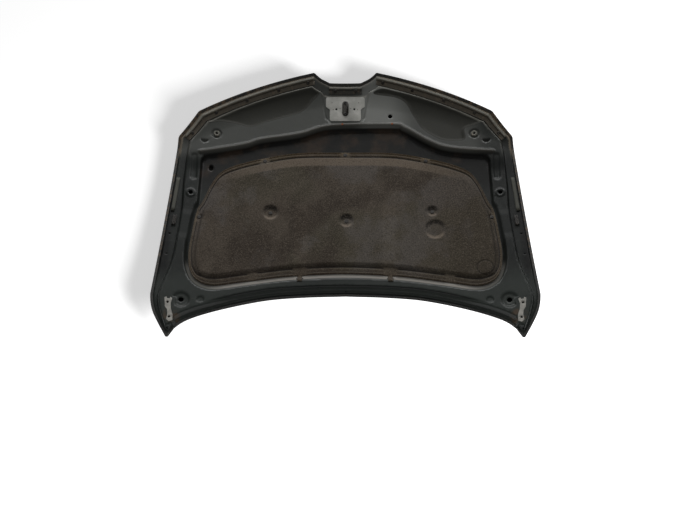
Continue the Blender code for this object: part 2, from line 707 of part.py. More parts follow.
def clip_holes():
    places = [(x, y) for x, y, _ in DIMPLES.values()] + list(FLANGE_CLIPS.values())
    return [circle(p, CLIP_HOLE, CLIP_SIDES) for p in places]


def panel_holes():
    slot = (STAY_SLOT_LENGTH - STAY_SLOT_WIDTH) / 2
    x, y = STAY_SLOT
    holes = [capsule((x, y + slot), (x, y - slot), STAY_SLOT_WIDTH / 2), circle(BEAM_HOLE, BEAM_HOLE_RADIUS)]
    paired = [(RAIL_HOLE, RAIL_HOLE_RADIUS), (CORNER_HOLE, CORNER_HOLE_RADIUS), (BUFFER, BUSH_BORE),
              ((PLATE_HOLE_X, PLATE_HOLE_Y), PLATE_HOLE_RADIUS)]
    paired += [(bolt, HINGE_BOLT_HOLE) for bolt in HINGE_BOLTS]
    for (x, y), radius in paired:
        holes += [circle((x, y), radius, HOLE_SIDES), circle((-x, y), radius, HOLE_SIDES)]
    width, front, rear = TAB_SLOT
    for x in (-TAB_X, TAB_X):
        left, right = x - width / 2, x + width / 2
        holes.append(np.array(((left, rear), (right, rear), (right, front), (left, front))))
    return holes + clip_holes()


def rail_step_lines():
    lines = []
    for start in RAIL_STEP_FRONTS + (RAIL_DROP_FRONT,):
        length = RAIL_DROP_LENGTH if start == RAIL_DROP_FRONT else RAIL_STEP_LENGTH
        for y in (start, start - length):
            for side in (-1, 1):
                ends = np.array(((FLOOR_HALF + FLOOR_WALL, y), (RAIL_FOOT[-1][0] - FRAME_WALL, y)))
                lines.append((ends * (side, 1), False))
    return lines


def make_panel():
    edge = inset(OUTLINE, PANEL_EDGE_INSET)
    creases = [(inset_line(OUTLINE, width), True) for width in (FLANGE_WIDTH, FLANGE_WIDTH + LEDGE_RAMP)]
    creases += [(FRAME_FOOT, True), (inset_line(FRAME_FOOT, FRAME_WALL), True)]
    creases += [(FLOOR_TOP, True), (FLOOR_FOOT, True)]
    creases += [(REAR_SHELF, True), (inset_line(REAR_SHELF, REAR_SHELF_WALL), True)]
    creases += [(WELL, True), (inset_line(WELL, WELL_WALL), True)]
    creases += [(BEAD, False), (BEAD + (0, BEAD_RADIUS), False)]
    for loop, _, wall in EMBOSSES:
        creases += [(loop, True), (inset_line(loop, wall), True)]
    for pad in (PAD, flipped(PAD)):
        creases += [(pad, True), (inset(pad, -HINGE_PAD_WALL), True)]
    creases += rail_step_lines()
    points, faces = plan_mesh(edge, panel_holes(), creases, GRID_STEP)
    z = panel_z(points[:, 0], points[:, 1])
    panel = new_object("inner_panel", np.column_stack((points, z)), faces, "panel_paint", closed=False)
    thicken = panel.modifiers.new("sheet", "SOLIDIFY")
    thicken.thickness = PANEL_SHEET
    thicken.offset = 1.0
    thicken.use_even_offset = False
    return panel


def two_faced(name, points, faces, low, high, material):
    # A slab with the same plan on both faces, closed by walls along its free edges
    count = len(points)
    verts = list(np.column_stack((points, low))) + list(np.column_stack((points, high)))
    sides = [(int(f[i]), int(f[(i + 1) % 3])) for f in faces for i in range(3)]
    both = set(sides)
    walls = [(a, b, b + count, a + count) for a, b in sides if (b, a) not in both]
    triangles = [tuple(f[::-1]) for f in faces] + [tuple(f + count) for f in faces]
    return new_object(name, verts, triangles + walls, material)


def sweep(name, rings, material):
    # A closed bar through rings that all have the same number of points
    count = len(rings[0])
    verts = [point for ring in rings for point in ring]
    faces = []
    for r in range(len(rings) - 1):
        for i in range(count):
            j = (i + 1) % count
            faces.append((r * count + i, r * count + j, (r + 1) * count + j, (r + 1) * count + i))
    faces.append(tuple(range(count - 1, -1, -1)))
    faces.append(tuple(range((len(rings) - 1) * count, len(rings) * count)))
    return new_object(name, verts, faces, material)


def turned(name, profile, sides, place, material, closed=False):
    # A profile of (radius, height) points spun about the upright axis, then set in its place
    bm = bmesh.new()
    chain = [bm.verts.new((radius, 0.0, height)) for radius, height in profile]
    pairs = list(zip(chain[:-1], chain[1:]))
    if closed:
        pairs.append((chain[-1], chain[0]))
    edges = [bm.edges.new(pair) for pair in pairs]
    bmesh.ops.spin(bm, geom=chain + edges, cent=(0, 0, 0), axis=(0, 0, 1), angle=2 * pi,
                   steps=sides, use_merge=True)
    bmesh.ops.remove_doubles(bm, verts=bm.verts, dist=1e-6)
    bmesh.ops.transform(bm, matrix=place, verts=bm.verts)
    verts = [tuple(v.co) for v in bm.verts]
    bm.verts.index_update()
    faces = [tuple(v.index for v in f.verts) for f in bm.faces]
    bm.free()
    return new_object(name, verts, faces, material)


def prism(name, loop, holes, low, high, place, material):
    # A flat plate cut to a loop, with holes, in its own upright frame
    points, faces = plan_mesh(loop, holes, [], 1.0)
    piece = two_faced(name, points, faces, np.full(len(points), low), np.full(len(points), high), material)
    piece.data.transform(place)
    return piece


def upright(x, y, z, slope_x=0.0, slope_y=0.0):
    # A frame at a point whose own z axis stands square to a slope
    up = Vector((-slope_x, -slope_y, 1.0)).normalized()
    across = Vector((1.0, 0.0, slope_x)).normalized()
    along = up.cross(across)
    place = Matrix((across, along, up)).transposed().to_4x4()
    place.translation = (x, y, z)
    return place


def top_of(piece):
    # A finder of the height of a piece's top face over a plan point, or nothing over a hole
    tree = BVHTree.FromObject(piece, bpy.context.evaluated_depsgraph_get())

    def height(x, y):
        place = tree.ray_cast(Vector((x, y, 1.0)), Vector((0.0, 0.0, -1.0)))[0]
        return place.z if place else None

    return height


def seat(height, x, y, radius, gap):
    # The frame of a disc that rests on a face at a point and tilts with it
    turns = np.arange(2 * HOLE_SIDES) * pi / HOLE_SIDES
    near = [(x + r * cos(t), y + r * sin(t)) for r in (radius / 2, radius) for t in turns]
    found = np.array([(px, py, height(px, py)) for px, py in near if height(px, py) is not None])
    terms = np.column_stack((found[:, 0] - x, found[:, 1] - y, np.ones(len(found))))
    plane = np.linalg.lstsq(terms, found[:, 2], rcond=None)[0]
    lift = float((found[:, 2] - terms @ plane).max())
    return upright(x, y, float(plane[2]) + lift + gap, float(plane[0]), float(plane[1]))


def liner_widths(front, side, rear):
    into, stretch = inward(LINER_LOOP)
    ahead = np.maximum(-into[:, 1], 0) ** 2
    back = np.maximum(into[:, 1], 0) ** 2
    return (side + (front - side) * ahead + (rear - side) * back)[:, None] * into * stretch[:, None]


def liner_loops():
    foot = LINER_LOOP + liner_widths(LINER_FLANGE_FRONT, LINER_FLANGE_SIDE, LINER_FLANGE_REAR)
    top = foot + liner_widths(LINER_BEVEL_FRONT, LINER_BEVEL_SIDE, LINER_BEVEL_REAR)
    return foot, top


LINER_FOOT, LINER_TOP = liner_loops()


def liner_thickness(x, y):
    points = np.stack((x, y), 1)
    thick = LINER_FLANGE + (LINER_BODY - LINER_FLANGE) * ramp_between(points, LINER_FOOT, LINER_TOP)
    for centre_x, centre_y, radius in DIMPLES.values():
        bowl = ramp(radius - np.hypot(x - centre_x, y - centre_y), DIMPLE_WALL)
        thick = thick + (DIMPLE_FLOOR - thick) * bowl
    bowl = ramp(WIDE_DIMPLE[2] - np.hypot(x - WIDE_DIMPLE[0], y - WIDE_DIMPLE[1]), DIMPLE_WALL)
    thick = np.minimum(thick, thick + (WIDE_DIMPLE_FLOOR - thick) * bowl)
    for place in FLANGE_CLIPS.values():
        pad = ramp(CLIP_PAD_RADIUS + CLIP_PAD_WALL - np.hypot(x - place[0], y - place[1]), CLIP_PAD_WALL)
        thick = thick + (LINER_FLANGE - thick) * pad
    return thick


def rear_crossing(loop, x):
    # Where the rear stretch of a loop passes a given x
    rear = loop[loop[:, 1] < LINER_EDGE[-1][1] / 2]
    rear = rear[np.argsort(rear[:, 0])]
    return float(np.interp(x, rear[:, 0], rear[:, 1]))


def liner_plan():
    # The liner's outline with its two rear tabs, and the tabs' crease lines over the chamfer
    loop = LINER_LOOP
    creases = []
    for side in (-1, 1):
        left, right = side * TAB_X - TAB_WIDTH / 2, side * TAB_X + TAB_WIDTH / 2
        rings = (LINER_LOOP, FLOOR_FOOT, FLOOR_TOP)
        levels = [[rear_crossing(ring, x) for x in (left, right)] for ring in rings]
        tab = [(left, row[0]) for row in levels] + [(left, TAB_END_Y), (right, TAB_END_Y)]
        tab += [(right, row[1]) for row in levels[::-1]]
        creases += [(np.array(((left, a), (right, b))), False) for a, b in levels[1:]]
        rear = loop[:, 1] < LINER_EDGE[-1][1] / 2
        left, right = left - TAB_CLEARANCE, right + TAB_CLEARANCE
        near = rear & (loop[:, 0] > left) & (loop[:, 0] < right)
        cut = max(np.flatnonzero(rear & (loop[:, 0] <= left)), key=lambda i: loop[i, 0])
        order = np.roll(np.arange(len(loop)), -cut - 1)
        kept = loop[order][~near[order]]
        loop = np.vstack((np.array(tab), kept))
    return loop, creases


def make_liner():
    loop, creases = liner_plan()
    creases += [(LINER_FOOT, True), (LINER_TOP, True)]
    for x, y, radius in list(DIMPLES.values()) + [WIDE_DIMPLE]:
        creases += [(circle((x, y), radius), True), (circle((x, y), radius - DIMPLE_WALL), True)]
    for place in FLANGE_CLIPS.values():
        creases += [(circle(place, CLIP_PAD_RADIUS + wall), True) for wall in (0.0, CLIP_PAD_WALL)]
    points, faces = plan_mesh(loop, clip_holes(), creases, GRID_STEP)
    low = panel_top(points[:, 0], points[:, 1]) + LINER_GAP
    high = low + liner_thickness(points[:, 0], points[:, 1])
    return two_faced("liner", points, faces, low, high, "felt")


def capped(radius, height):
    # The half section of a low domed head
    return [(0.0, 0.0), (radius, 0.0), (radius, height / 2), (DOME_TOP * radius, height), (0.0, height)]


def push_clip(name, place, head, stem=0.0):
    # A domed head, with a stem where the clip passes through a hole
    shank = [(0.0, -stem), (CLIP_STEM, -stem), (CLIP_STEM, 0.0)] if stem else [(0.0, 0.0)]
    return turned(name, shank + capped(head, CLIP_HEAD_HEIGHT)[1:], ROUND_SIDES, place, "clip_plastic")


def make_liner_clips(liner):
    height = top_of(liner)
    places = {"dimple_" + key: (x, y) for key, (x, y, _) in DIMPLES.items()}
    places.update(FLANGE_CLIPS)
    for key, (x, y) in places.items():
        thick = float(liner_thickness(np.array([x]), np.array([y]))[0])
        place = seat(height, x, y, CLIP_HEAD, SEAT_GAP)
        stem = thick + LINER_GAP + PANEL_SHEET + SEAT_GAP + CLIP_STEM_REACH
        push_clip("liner_clip_" + key, place, CLIP_HEAD, stem)


def seal_stations(height, outer, inner):
    # Rails of a strip laid on a face: both edges follow it and clear it between stations too
    rails = []
    for line in (outer, inner):
        rails.append(np.array([(x, y, height(x, y)) for x, y in line]))
    parts = np.linspace(0, 1, 2 * ROUND_SIDES)
    lift = np.zeros(len(outer))
    for i in range(len(outer) - 1):
        for along in parts:
            a, b = (rail[i] + (rail[i + 1] - rail[i]) * along for rail in rails)
            for across in parts:
                x, y, z = a + (b - a) * across
                rise = (height(x, y) or z) - z
                lift[i:i + 2] = np.maximum(lift[i:i + 2], rise)
    for rail in rails:
        rail[:, 2] += lift + SEAL_GAP
    along = np.gradient(rails[0], axis=0)
    up = np.cross(along, rails[1] - rails[0])
    up = up / np.linalg.norm(up, axis=1)[:, None]
    return rails[0], rails[1], up * np.sign(up[:, 2])[:, None]


def swept_seal(name, stations, profile, material="rubber"):
    rings = [[a + (b - a) * u + up * v for u, v in profile] for a, b, up in zip(*stations)]
    return sweep(name, rings, material)


def seal_profile():
    bulb = SEAL_BULB_WIDTH / SEAL_WIDTH
    crown = [(u * bulb, v * SEAL_BULB) for u, v in BULB_CROWN]
    return [(0.0, 0.0), (1.0, 0.0), (1.0, SEAL_BASE), (bulb, SEAL_BASE)] + crown + [(0.0, SEAL_BASE)]


def seal_clip(name, seal, stations, part):
    # A push clip seated on a seal's flange, a given part of the way along the seal
    outer, inner, _ = stations
    steps = np.linalg.norm(np.diff(outer, axis=0), axis=1)
    reach = np.concatenate(((0.0,), np.cumsum(steps))) / steps.sum()
    a, b = (np.array([np.interp(part, reach, row[:, k]) for k in range(2)]) for row in (outer, inner))
    x, y = a + (b - a) * (SEAL_CLIP_INSET - SEAL_INSET) / SEAL_WIDTH
    push_clip(name, seat(top_of(seal), float(x), float(y), SEAL_CLIP_HEAD, SEAT_GAP), SEAL_CLIP_HEAD)


def front_lines():
    # The plan lines of the right-hand front seal's two edges
    chain, index = outer_part(lambda p: (p[:, 0] > NOTCH_TIP[0]) & (p[:, 1] > CHAMFER_END[1] + SEAL_END_GAP))
    into, stretch = inward(OUTLINE)
    off = into[index] * stretch[index][:, None]
    return [chain + off * inner for inner in (SEAL_INSET, SEAL_INSET + SEAL_WIDTH)]


def make_front_seals(height):
    lines = front_lines()
    middle = np.linspace(-CENTRE_SEAL_HALF, CENTRE_SEAL_HALF, 5)
    level = NOTCH_FLOOR_Y - SEAL_INSET
    centre = [np.stack((middle, np.full(len(middle), y)), 1) for y in (level, level - SEAL_WIDTH)]
    clips = [(CENTRE_SEAL_HALF + x) / (2 * CENTRE_SEAL_HALF) for x in (-CENTRE_CLIP_X, CENTRE_CLIP_X)]
    other = [line * (-1, 1) for line in lines]
    pieces = {"right": (lines, SEAL_CLIP_PARTS), "left": (other, SEAL_CLIP_PARTS), "centre": (centre, clips)}
    for side, (edges, parts) in pieces.items():
        stations = seal_stations(height, *edges)
        seal = swept_seal("front_seal_" + side, stations, seal_profile())
        for number, part in enumerate(parts, 1):
            seal_clip(f"seal_clip_{side}_{number}", seal, stations, part)


def side_rows(front, rear, edge, width):
    side = OUTLINE[(OUTLINE[:, 0] > HORN_SIDE[0] - FRONT_LEDGE) & (OUTLINE[:, 1] > WIDEST[1])
                   & (OUTLINE[:, 1] < CHAMFER_END[1])]
    side = side[np.argsort(side[:, 1])]
    y = np.linspace(front, rear, 4)
    x = np.interp(y, side[:, 1], side[:, 0])
    return [np.stack((x - off, y), 1) for off in (edge, edge + width)]


def make_side_seals(height):
    strip = [(u, v * SIDE_SEAL_HEIGHT) for u, v in STRIP_SECTION]
    hook = [(u, v * SIDE_CLIP_HEIGHT) for u, v in HOOK_SECTION]
    half = SIDE_CLIP_LENGTH / 2
    strip_rows = side_rows(SIDE_SEAL_FRONT, SIDE_SEAL_REAR, SIDE_SEAL_INSET, SIDE_SEAL_WIDTH)
    hook_rows = side_rows(SIDE_CLIP_Y + half, SIDE_CLIP_Y - half, SIDE_CLIP_INSET, SIDE_CLIP_WIDTH)
    for name, profile, rows, material in (("side_seal_", strip, strip_rows, "rubber"),
                                          ("side_clip_", hook, hook_rows, "clip_plastic")):
        for side, sign in (("right", 1), ("left", -1)):
            stations = seal_stations(height, *(row * (sign, 1) for row in rows))
            swept_seal(name + side, stations, profile, material)


def well_frame():
    rise = float(well_plane(WELL_FRONT_Y) - well_plane(WELL_REAR_Y)) / (WELL_FRONT_Y - WELL_REAR_Y)
    z = float(well_plane(STRIKER_Y)) + PANEL_SHEET * (1 + rise ** 2) ** 0.5
    return upright(0.0, STRIKER_Y, z, 0.0, rise), (1 + rise ** 2) ** 0.5


def make_latch():
    place, stretch = well_frame()

    def down(y):
        return (y - STRIKER_Y) * stretch

    front, shoulder, rear = (down(y) for y in (PLATE_FRONT_Y, PLATE_SHOULDER_Y, PLATE_REAR_Y))
    wide, narrow = PLATE_FRONT_HALF, PLATE_REAR_HALF
    waist = [(wide, shoulder + PLATE_SHOULDER), (narrow, shoulder - PLATE_SHOULDER)]
    half = [(0.0, front)]
    half += fillet((0.0, front), (wide, front), waist[0], PLATE_CORNER_RADIUS, 3) + waist
    half += fillet(waist[1], (narrow, rear), (0.0, rear), PLATE_CORNER_RADIUS, 3) + [(0.0, rear)]
    holes = [circle((x, down(PLATE_HOLE_Y)), PLATE_HOLE_RADIUS, HOLE_SIDES)
             for x in (-PLATE_HOLE_X, PLATE_HOLE_X)]
    low = SEAT_GAP
    prism("latch_plate", mirrored(np.array(half)), holes, low, low + PLATE_SHEET, place, "primer")
    low += PLATE_SHEET + SEAT_GAP
    end = STRIKER_LENGTH / 2 - STRIKER_WIDTH / 2
    prism("striker_base", capsule((0, end), (0, -end), STRIKER_WIDTH / 2), [], low, low + STRIKER_THICKNESS,
          place, "zinc")
    low += STRIKER_THICKNESS + SEAT_GAP
    high = STRIKER_RIVET_HEIGHT
    dome = capped(STRIKER_RIVET_RADIUS, high)
    for key, sign in (("front", 1), ("rear", -1)):
        seat = place @ Matrix.Translation((0.0, sign * STRIKER_RIVET_SPACING / 2, low))
        turned("striker_rivet_" + key, dome, ROUND_SIDES, seat, "zinc")
    make_loop(place @ Matrix.Translation((LOOP_X, 0.0, low)))


def make_loop(place):
    half, high = LOOP_SPAN / 2, LOOP_HEIGHT - LOOP_WIRE / 2
    path = [(-half, 0.0)]
    path += fillet((-half, 0.0), (-half, high), (half, high), LOOP_BEND_RADIUS, 4)
    path += fillet((-half, high), (half, high), (half, 0.0), LOOP_BEND_RADIUS, 4)
    path += [(half, 0.0)]
    path = np.array(path)
    along = np.gradient(path, axis=0)
    along = along / np.linalg.norm(along, axis=1)[:, None]
    along[0], along[-1] = (0.0, 1.0), (0.0, -1.0)
    rings = []
    for (y, z), (ty, tz) in zip(path, along):
        section = circle((0.0, 0.0), LOOP_WIRE / 2, HOLE_SIDES)
        rings.append([place @ Vector((u, y - tz * v, z + ty * v)) for u, v in section])
    sweep("striker_loop", rings, "zinc")


def make_bushes(height):
    for side, sign in (("right", 1), ("left", -1)):
        place = seat(height, sign * BUFFER[0], BUFFER[1], BUSH_RADIUS, SEAT_GAP)
        ring = [(BUSH_BORE, 0.0), (BUSH_RADIUS, 0.0), (BUSH_RADIUS, 0.6 * BUSH_HEIGHT),
                (0.8 * BUSH_RADIUS, BUSH_HEIGHT), (BUSH_BORE, BUSH_HEIGHT)]
        turned("buffer_bush_" + side, ring, ROUND_SIDES, place, "rubber", closed=True)


def make_plugs(height):
    cap = capped(RIDGE_PLUG_RADIUS, RIDGE_PLUG_HEIGHT)
    for side, (x, _) in zip(("left", "right"), RIDGE_PLUGS):
        y = float(np.interp(x, BEAD[:, 0], BEAD[:, 1]))
        turned("ridge_plug_" + side, cap, HOLE_SIDES, seat(height, x, y, RIDGE_PLUG_RADIUS, SEAT_GAP), "rust")


def make_hinge_plates():
    x, y = HINGE_PAD_CENTRE
    slope_x, slope_y = (float(s) for s in skin_slopes(x, y))
    z = float(pad_plane(x, y))
    for side, sign in (("right", 1), ("left", -1)):
        place = upright(sign * x, y, z, sign * slope_x, slope_y)
        flat = place.inverted()

        def laid(loop):
            # Plan points dropped on the pad's plane, in the plate's own frame
            moved = [flat @ Vector((px, py, float(pad_plane(px, py)))) for px, py in loop]
            return np.array([(v.x, v.y) for v in moved])

        pad = inset(PAD, HINGE_PLATE_INSET)
        pad = pad if sign > 0 else flipped(pad)
        bolts = [laid([(sign * bx, by)])[0] for bx, by in HINGE_BOLTS]
        low = -SEAT_GAP - HINGE_PLATE_SHEET
        holes = [circle(b, HINGE_BOLT_HOLE, HOLE_SIDES) for b in bolts]
        prism("hinge_plate_" + side, laid(pad), holes, low, -SEAT_GAP, place, "primer")
        for key, bolt in zip(("front", "rear"), bolts):
            top = low - SEAT_GAP
            prism(f"hinge_nut_{side}_{key}", circle(bolt, WELD_NUT_RADIUS, 6),
                  [circle(bolt, WELD_NUT_BORE, HOLE_SIDES)], top - WELD_NUT_HEIGHT, top, place, "zinc")


def main():
    for thing in list(bpy.data.objects):
        bpy.data.objects.remove(thing, do_unlink=True)
    make_skin()
    panel_height = top_of(make_panel())
    make_liner_clips(make_liner())
    make_front_seals(panel_height)
    make_side_seals(panel_height)
    make_latch()
    make_bushes(panel_height)
    make_plugs(panel_height)
    make_hinge_plates()


main()
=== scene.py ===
import bmesh
import bpy
import numpy as np
from math import cos, pi, radians, sin
from mathutils import Matrix, Vector
from mathutils.bvhtree import BVHTree
from mathutils.geometry import delaunay_2d_cdt
from mathutils.kdtree import KDTree


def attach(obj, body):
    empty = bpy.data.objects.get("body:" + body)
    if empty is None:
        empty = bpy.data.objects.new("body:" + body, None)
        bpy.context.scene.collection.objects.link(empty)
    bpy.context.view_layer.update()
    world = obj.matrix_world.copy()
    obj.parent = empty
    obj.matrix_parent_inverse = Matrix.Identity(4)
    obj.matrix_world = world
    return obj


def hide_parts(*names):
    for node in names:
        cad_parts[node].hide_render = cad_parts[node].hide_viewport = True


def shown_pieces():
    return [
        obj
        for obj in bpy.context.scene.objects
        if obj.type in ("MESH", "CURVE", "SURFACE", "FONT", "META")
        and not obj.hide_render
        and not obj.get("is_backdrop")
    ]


# Underside of a car bonnet: its finishes, its fine pressed shape and its soft pieces
# Metres; +X runs across the car, +Y towards the bonnet's front edge, +Z up

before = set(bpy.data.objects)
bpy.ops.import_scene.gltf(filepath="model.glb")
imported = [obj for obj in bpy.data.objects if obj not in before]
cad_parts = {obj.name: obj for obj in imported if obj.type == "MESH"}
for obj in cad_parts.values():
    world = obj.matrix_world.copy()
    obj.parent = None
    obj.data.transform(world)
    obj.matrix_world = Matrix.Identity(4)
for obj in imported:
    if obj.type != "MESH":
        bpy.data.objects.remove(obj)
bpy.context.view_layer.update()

# Plan of the bonnet, as in the CAD
NOTCH_FLOOR_Y, NOTCH_FLAT_HALF, NOTCH_TIP = 0.555, 0.063, (0.128, 0.585)
NOTCH_BOW, NOTCH_ROOT_RADIUS = 0.004, 0.030
FRONT_CORNER, FRONT_BOW, CHAMFER_END = (0.590, 0.390), 0.024, (0.668, 0.284)
WIDEST, HIP, HORN_SIDE, HORN_TIP = (0.712, -0.412), (0.700, -0.474), (0.670, -0.535), (0.6363, -0.5908)
REAR_EDGE = ((0.614, -0.548), (0.561, -0.504), (0.446, -0.456), (0.294, -0.414), (0.150, -0.397))
REAR_CENTRE_Y, HIP_LEAD = -0.391, 0.08
TIP_RADIUS, HORN_RADIUS, CORNER_RADIUS, EDGE_SLACK = 0.013, 0.0075, 0.028, 0.0003
FRONT_CORNER_RADIUS = 1.6 * CORNER_RADIUS

# Crown of the outer skin, as in the CAD
CROWN_SIDE, CROWN_POWER, CROWN_FRONT, CROWN_REAR, CROWN_REACH = 0.070, 2.3, 0.035, 0.020, 0.500
REST_Y = 0.031
LIP_LINE_Y, LIP_LINE_DROP, LIP_LINE_REACH, LIP_WIDTH, LIP_RISE = 0.548, 0.155, 0.550, 0.100, 0.035

# Sheets, hem and the inner panel's levels, as in the CAD
SKIN_SHEET, PANEL_SHEET, HEM_GAP, HEM_WIDTH = 0.0008, 0.0007, 0.0005, 0.009
PANEL_EDGE_INSET = 0.0034
FLANGE_BASE = SKIN_SHEET + HEM_GAP
FLANGE_WIDTH, LEDGE_RAMP, LEDGE_RISE, FRONT_LEDGE = 0.0115, 0.004, 0.005, 0.042
REAR_FLANGE, FRAME_FRONT_START, FRAME_REAR_STOP, FRAME_WALL = 0.020, 0.012, 0.035, 0.010
RAIL_FOOT = ((0.639, -0.561), (0.652, -0.538), (0.671, -0.490), (0.684, -0.440), (0.682, -0.405),
             (0.672, -0.362), (0.659, -0.312), (0.648, -0.259), (0.639, -0.145), (0.634, -0.040),
             (0.636, 0.072), (0.632, 0.198), (0.628, 0.250))
FRONT_RISE, RAIL_RISE, RAIL_STEP, RAIL_STEP_LENGTH = 0.022, 0.017, 0.004, 0.025
RAIL_STEP_FRONTS = (-0.043, -0.150)
RAIL_DROP_FRONT, RAIL_DROP_LENGTH = 0.200, 0.070
REAR_SHELF_DEPTH, REAR_SHELF_WIDTH, REAR_SHELF_HALF, REAR_SHELF_WALL = 0.008, 0.039, 0.520, 0.006
REAR_SHELF_FADE = 0.12
FLOOR_HALF, FLOOR_REAR_JOIN, FLOOR_SIDE_JOIN, FLOOR_FRONT_JOIN = 0.566, -0.010, 0.100, 0.185
FLOOR_WALL, REAR_CHAMFER, LINER_MARGIN = 0.010, 0.022, 0.005
BEAD_LINE = ((-0.576, 0.219), (-0.402, 0.267), (-0.335, 0.294), (-0.183, 0.326), (-0.054, 0.366),
             (0.190, 0.369), (0.242, 0.352), (0.340, 0.285), (0.418, 0.250), (0.582, 0.220))
BEAD_RADIUS, BEAD_RISE = 0.009, 0.009

# Pressed features, as in the CAD
POCKET_LEFT = ((-0.140, 0.524), (-0.108, 0.511), (-0.140, 0.474), (-0.182, 0.429), (-0.250, 0.404),
               (-0.316, 0.380), (-0.383, 0.353), (-0.440, 0.362), (-0.502, 0.364), (-0.545, 0.352),
               (-0.545, 0.368), (-0.441, 0.423), (-0.309, 0.478), (-0.200, 0.511))
POCKET_RIGHT = ((0.150, 0.520), (0.119, 0.507), (0.206, 0.490), (0.251, 0.462), (0.281, 0.405),
                (0.316, 0.345), (0.381, 0.297), (0.440, 0.284), (0.480, 0.290), (0.480, 0.335),
                (0.510, 0.345), (0.545, 0.352), (0.545, 0.368), (0.445, 0.420), (0.311, 0.476),
                (0.204, 0.508))
POCKET_DEPTH, POCKET_WALL, POCKET_EDGE = 0.009, 0.014, 0.003
WELL_HALF_WIDTHS, WELL_STATIONS = (0.106, 0.100, 0.082, 0.060), (0.537, 0.500, 0.402, 0.378)
WELL_WALL, WELL_FRONT_Y, WELL_REAR_Y, WELL_LIFT = 0.011, 0.512, 0.385, 0.001
BUFFER, BUFFER_DISH_RADIUS, BUFFER_DISH_DEPTH = (0.518, 0.311), 0.023, 0.005
HALF_MOON, HALF_MOON_RADIUS, HALF_MOON_DEPTH, HALF_MOON_WALL = (0.564, 0.282), 0.018, 0.009, 0.007
FINGER_FRONT, FINGER_REAR, FINGER_RADIUS = (0.598, 0.200), (0.596, 0.108), 0.016
FINGER_DEPTH, FINGER_WALL = 0.0045, 0.010
RAIL_HOLE, RAIL_HOLE_RADIUS, RAIL_DISC_RADIUS, RAIL_DISC_RISE = (0.601, 0.034), 0.0075, 0.021, 0.002
CORNER_HOLE, CORNER_HOLE_RADIUS, CORNER_DISH_RADIUS, CORNER_DISH_DEPTH = (0.597, -0.436), 0.009, 0.034, 0.005
REAR_DISC, REAR_DISC_RADIUS, REAR_DISC_DEPTH, EMBOSS_WALL = (0.528, -0.431), 0.015, 0.003, 0.005
STAY_SLOT, STAY_SLOT_WIDTH, STAY_SLOT_LENGTH = (-0.533, 0.159), 0.015, 0.023
BEAM_HOLE, BEAM_HOLE_RADIUS = (0.183, 0.409), 0.0085
HINGE_PAD = ((0.620, -0.430), (0.659, -0.430), (0.656, -0.470), (0.645, -0.507), (0.632, -0.536),
             (0.617, -0.534))
HINGE_PAD_CENTRE, HINGE_PAD_WALL = (0.639, -0.480), 0.006
HINGE_BOLTS, HINGE_BOLT_HOLE = ((0.642, -0.452), (0.631, -0.511)), 0.0045
TINY_HOLES, TINY_HOLE_RADIUS = ((0.667, -0.152), (0.671, -0.240), (0.636, -0.551), (0.003, -0.372)), 0.0022

# Unpainted patch that each hinge arm has left on its pad, right-hand side
HINGE_PATCH = ((0.627, -0.436), (0.633, -0.430), (0.637, -0.437), (0.645, -0.437), (0.648, -0.430),
               (0.655, -0.434), (0.652, -0.452), (0.650, -0.470), (0.641, -0.482), (0.638, -0.500),
               (0.640, -0.522), (0.630, -0.530), (0.618, -0.524), (0.620, -0.500), (0.628, -0.478),
               (0.631, -0.455))
HINGE_STAIN, HINGE_STAIN_RADIUS = (0.624, -0.502), 0.030

# Painted highlight on the strip of floor that shows behind the liner, and how its ends fade
STRIP_INSET, STRIP_EDGE, STRIP_REAR_Y, STRIP_REAR_FADE = 0.0025, 0.0025, -0.26, 0.04
STRIP_HALF, STRIP_SIDE_FADE, STRIP_SIDE_PART = 0.53, 0.10, 0.35

# Extents of the panel's other marks
AHEAD_FADE, EDGE_MARK_WIDTH, SHOULDER_SPAN = 0.05, 0.002, (0.004, 0.013)
FLOOR_MARK_START, FLOOR_MARK_WIDTH, GROOVE_SPAN = 0.001, 0.004, (-0.2, 0.8)
BEAD_MARK_REACH, BEAD_MARK_WIDTH = 1.25 * BEAD_RADIUS, 0.006

# Liner
LINER_EDGE = ((0.000, 0.252), (0.190, 0.247), (0.331, 0.216), (0.432, 0.180), (0.492, 0.142),
              (0.526, 0.086), (0.555, 0.003), (0.574, -0.044), (0.586, -0.153), (0.590, -0.236),
              (0.579, -0.302), (0.549, -0.346), (0.489, -0.363), (0.379, -0.341), (0.208, -0.311),
              (0.000, -0.298))
LINER_FLANGE, LINER_BODY, LINER_GAP = 0.0035, 0.0145, 0.0008
LINER_FLANGE_FRONT, LINER_FLANGE_SIDE, LINER_FLANGE_REAR = 0.024, 0.012, 0.036
LINER_BEVEL_FRONT, LINER_BEVEL_SIDE, LINER_BEVEL_REAR = 0.046, 0.022, 0.010
LINER_STEP, LINER_STEP_PART, BEVEL_FADE_Y, BEVEL_FADE = 0.0030, 0.16, 0.07, 0.08
BEVEL_MARK_START, BEVEL_MARK_END = 0.12, 0.98

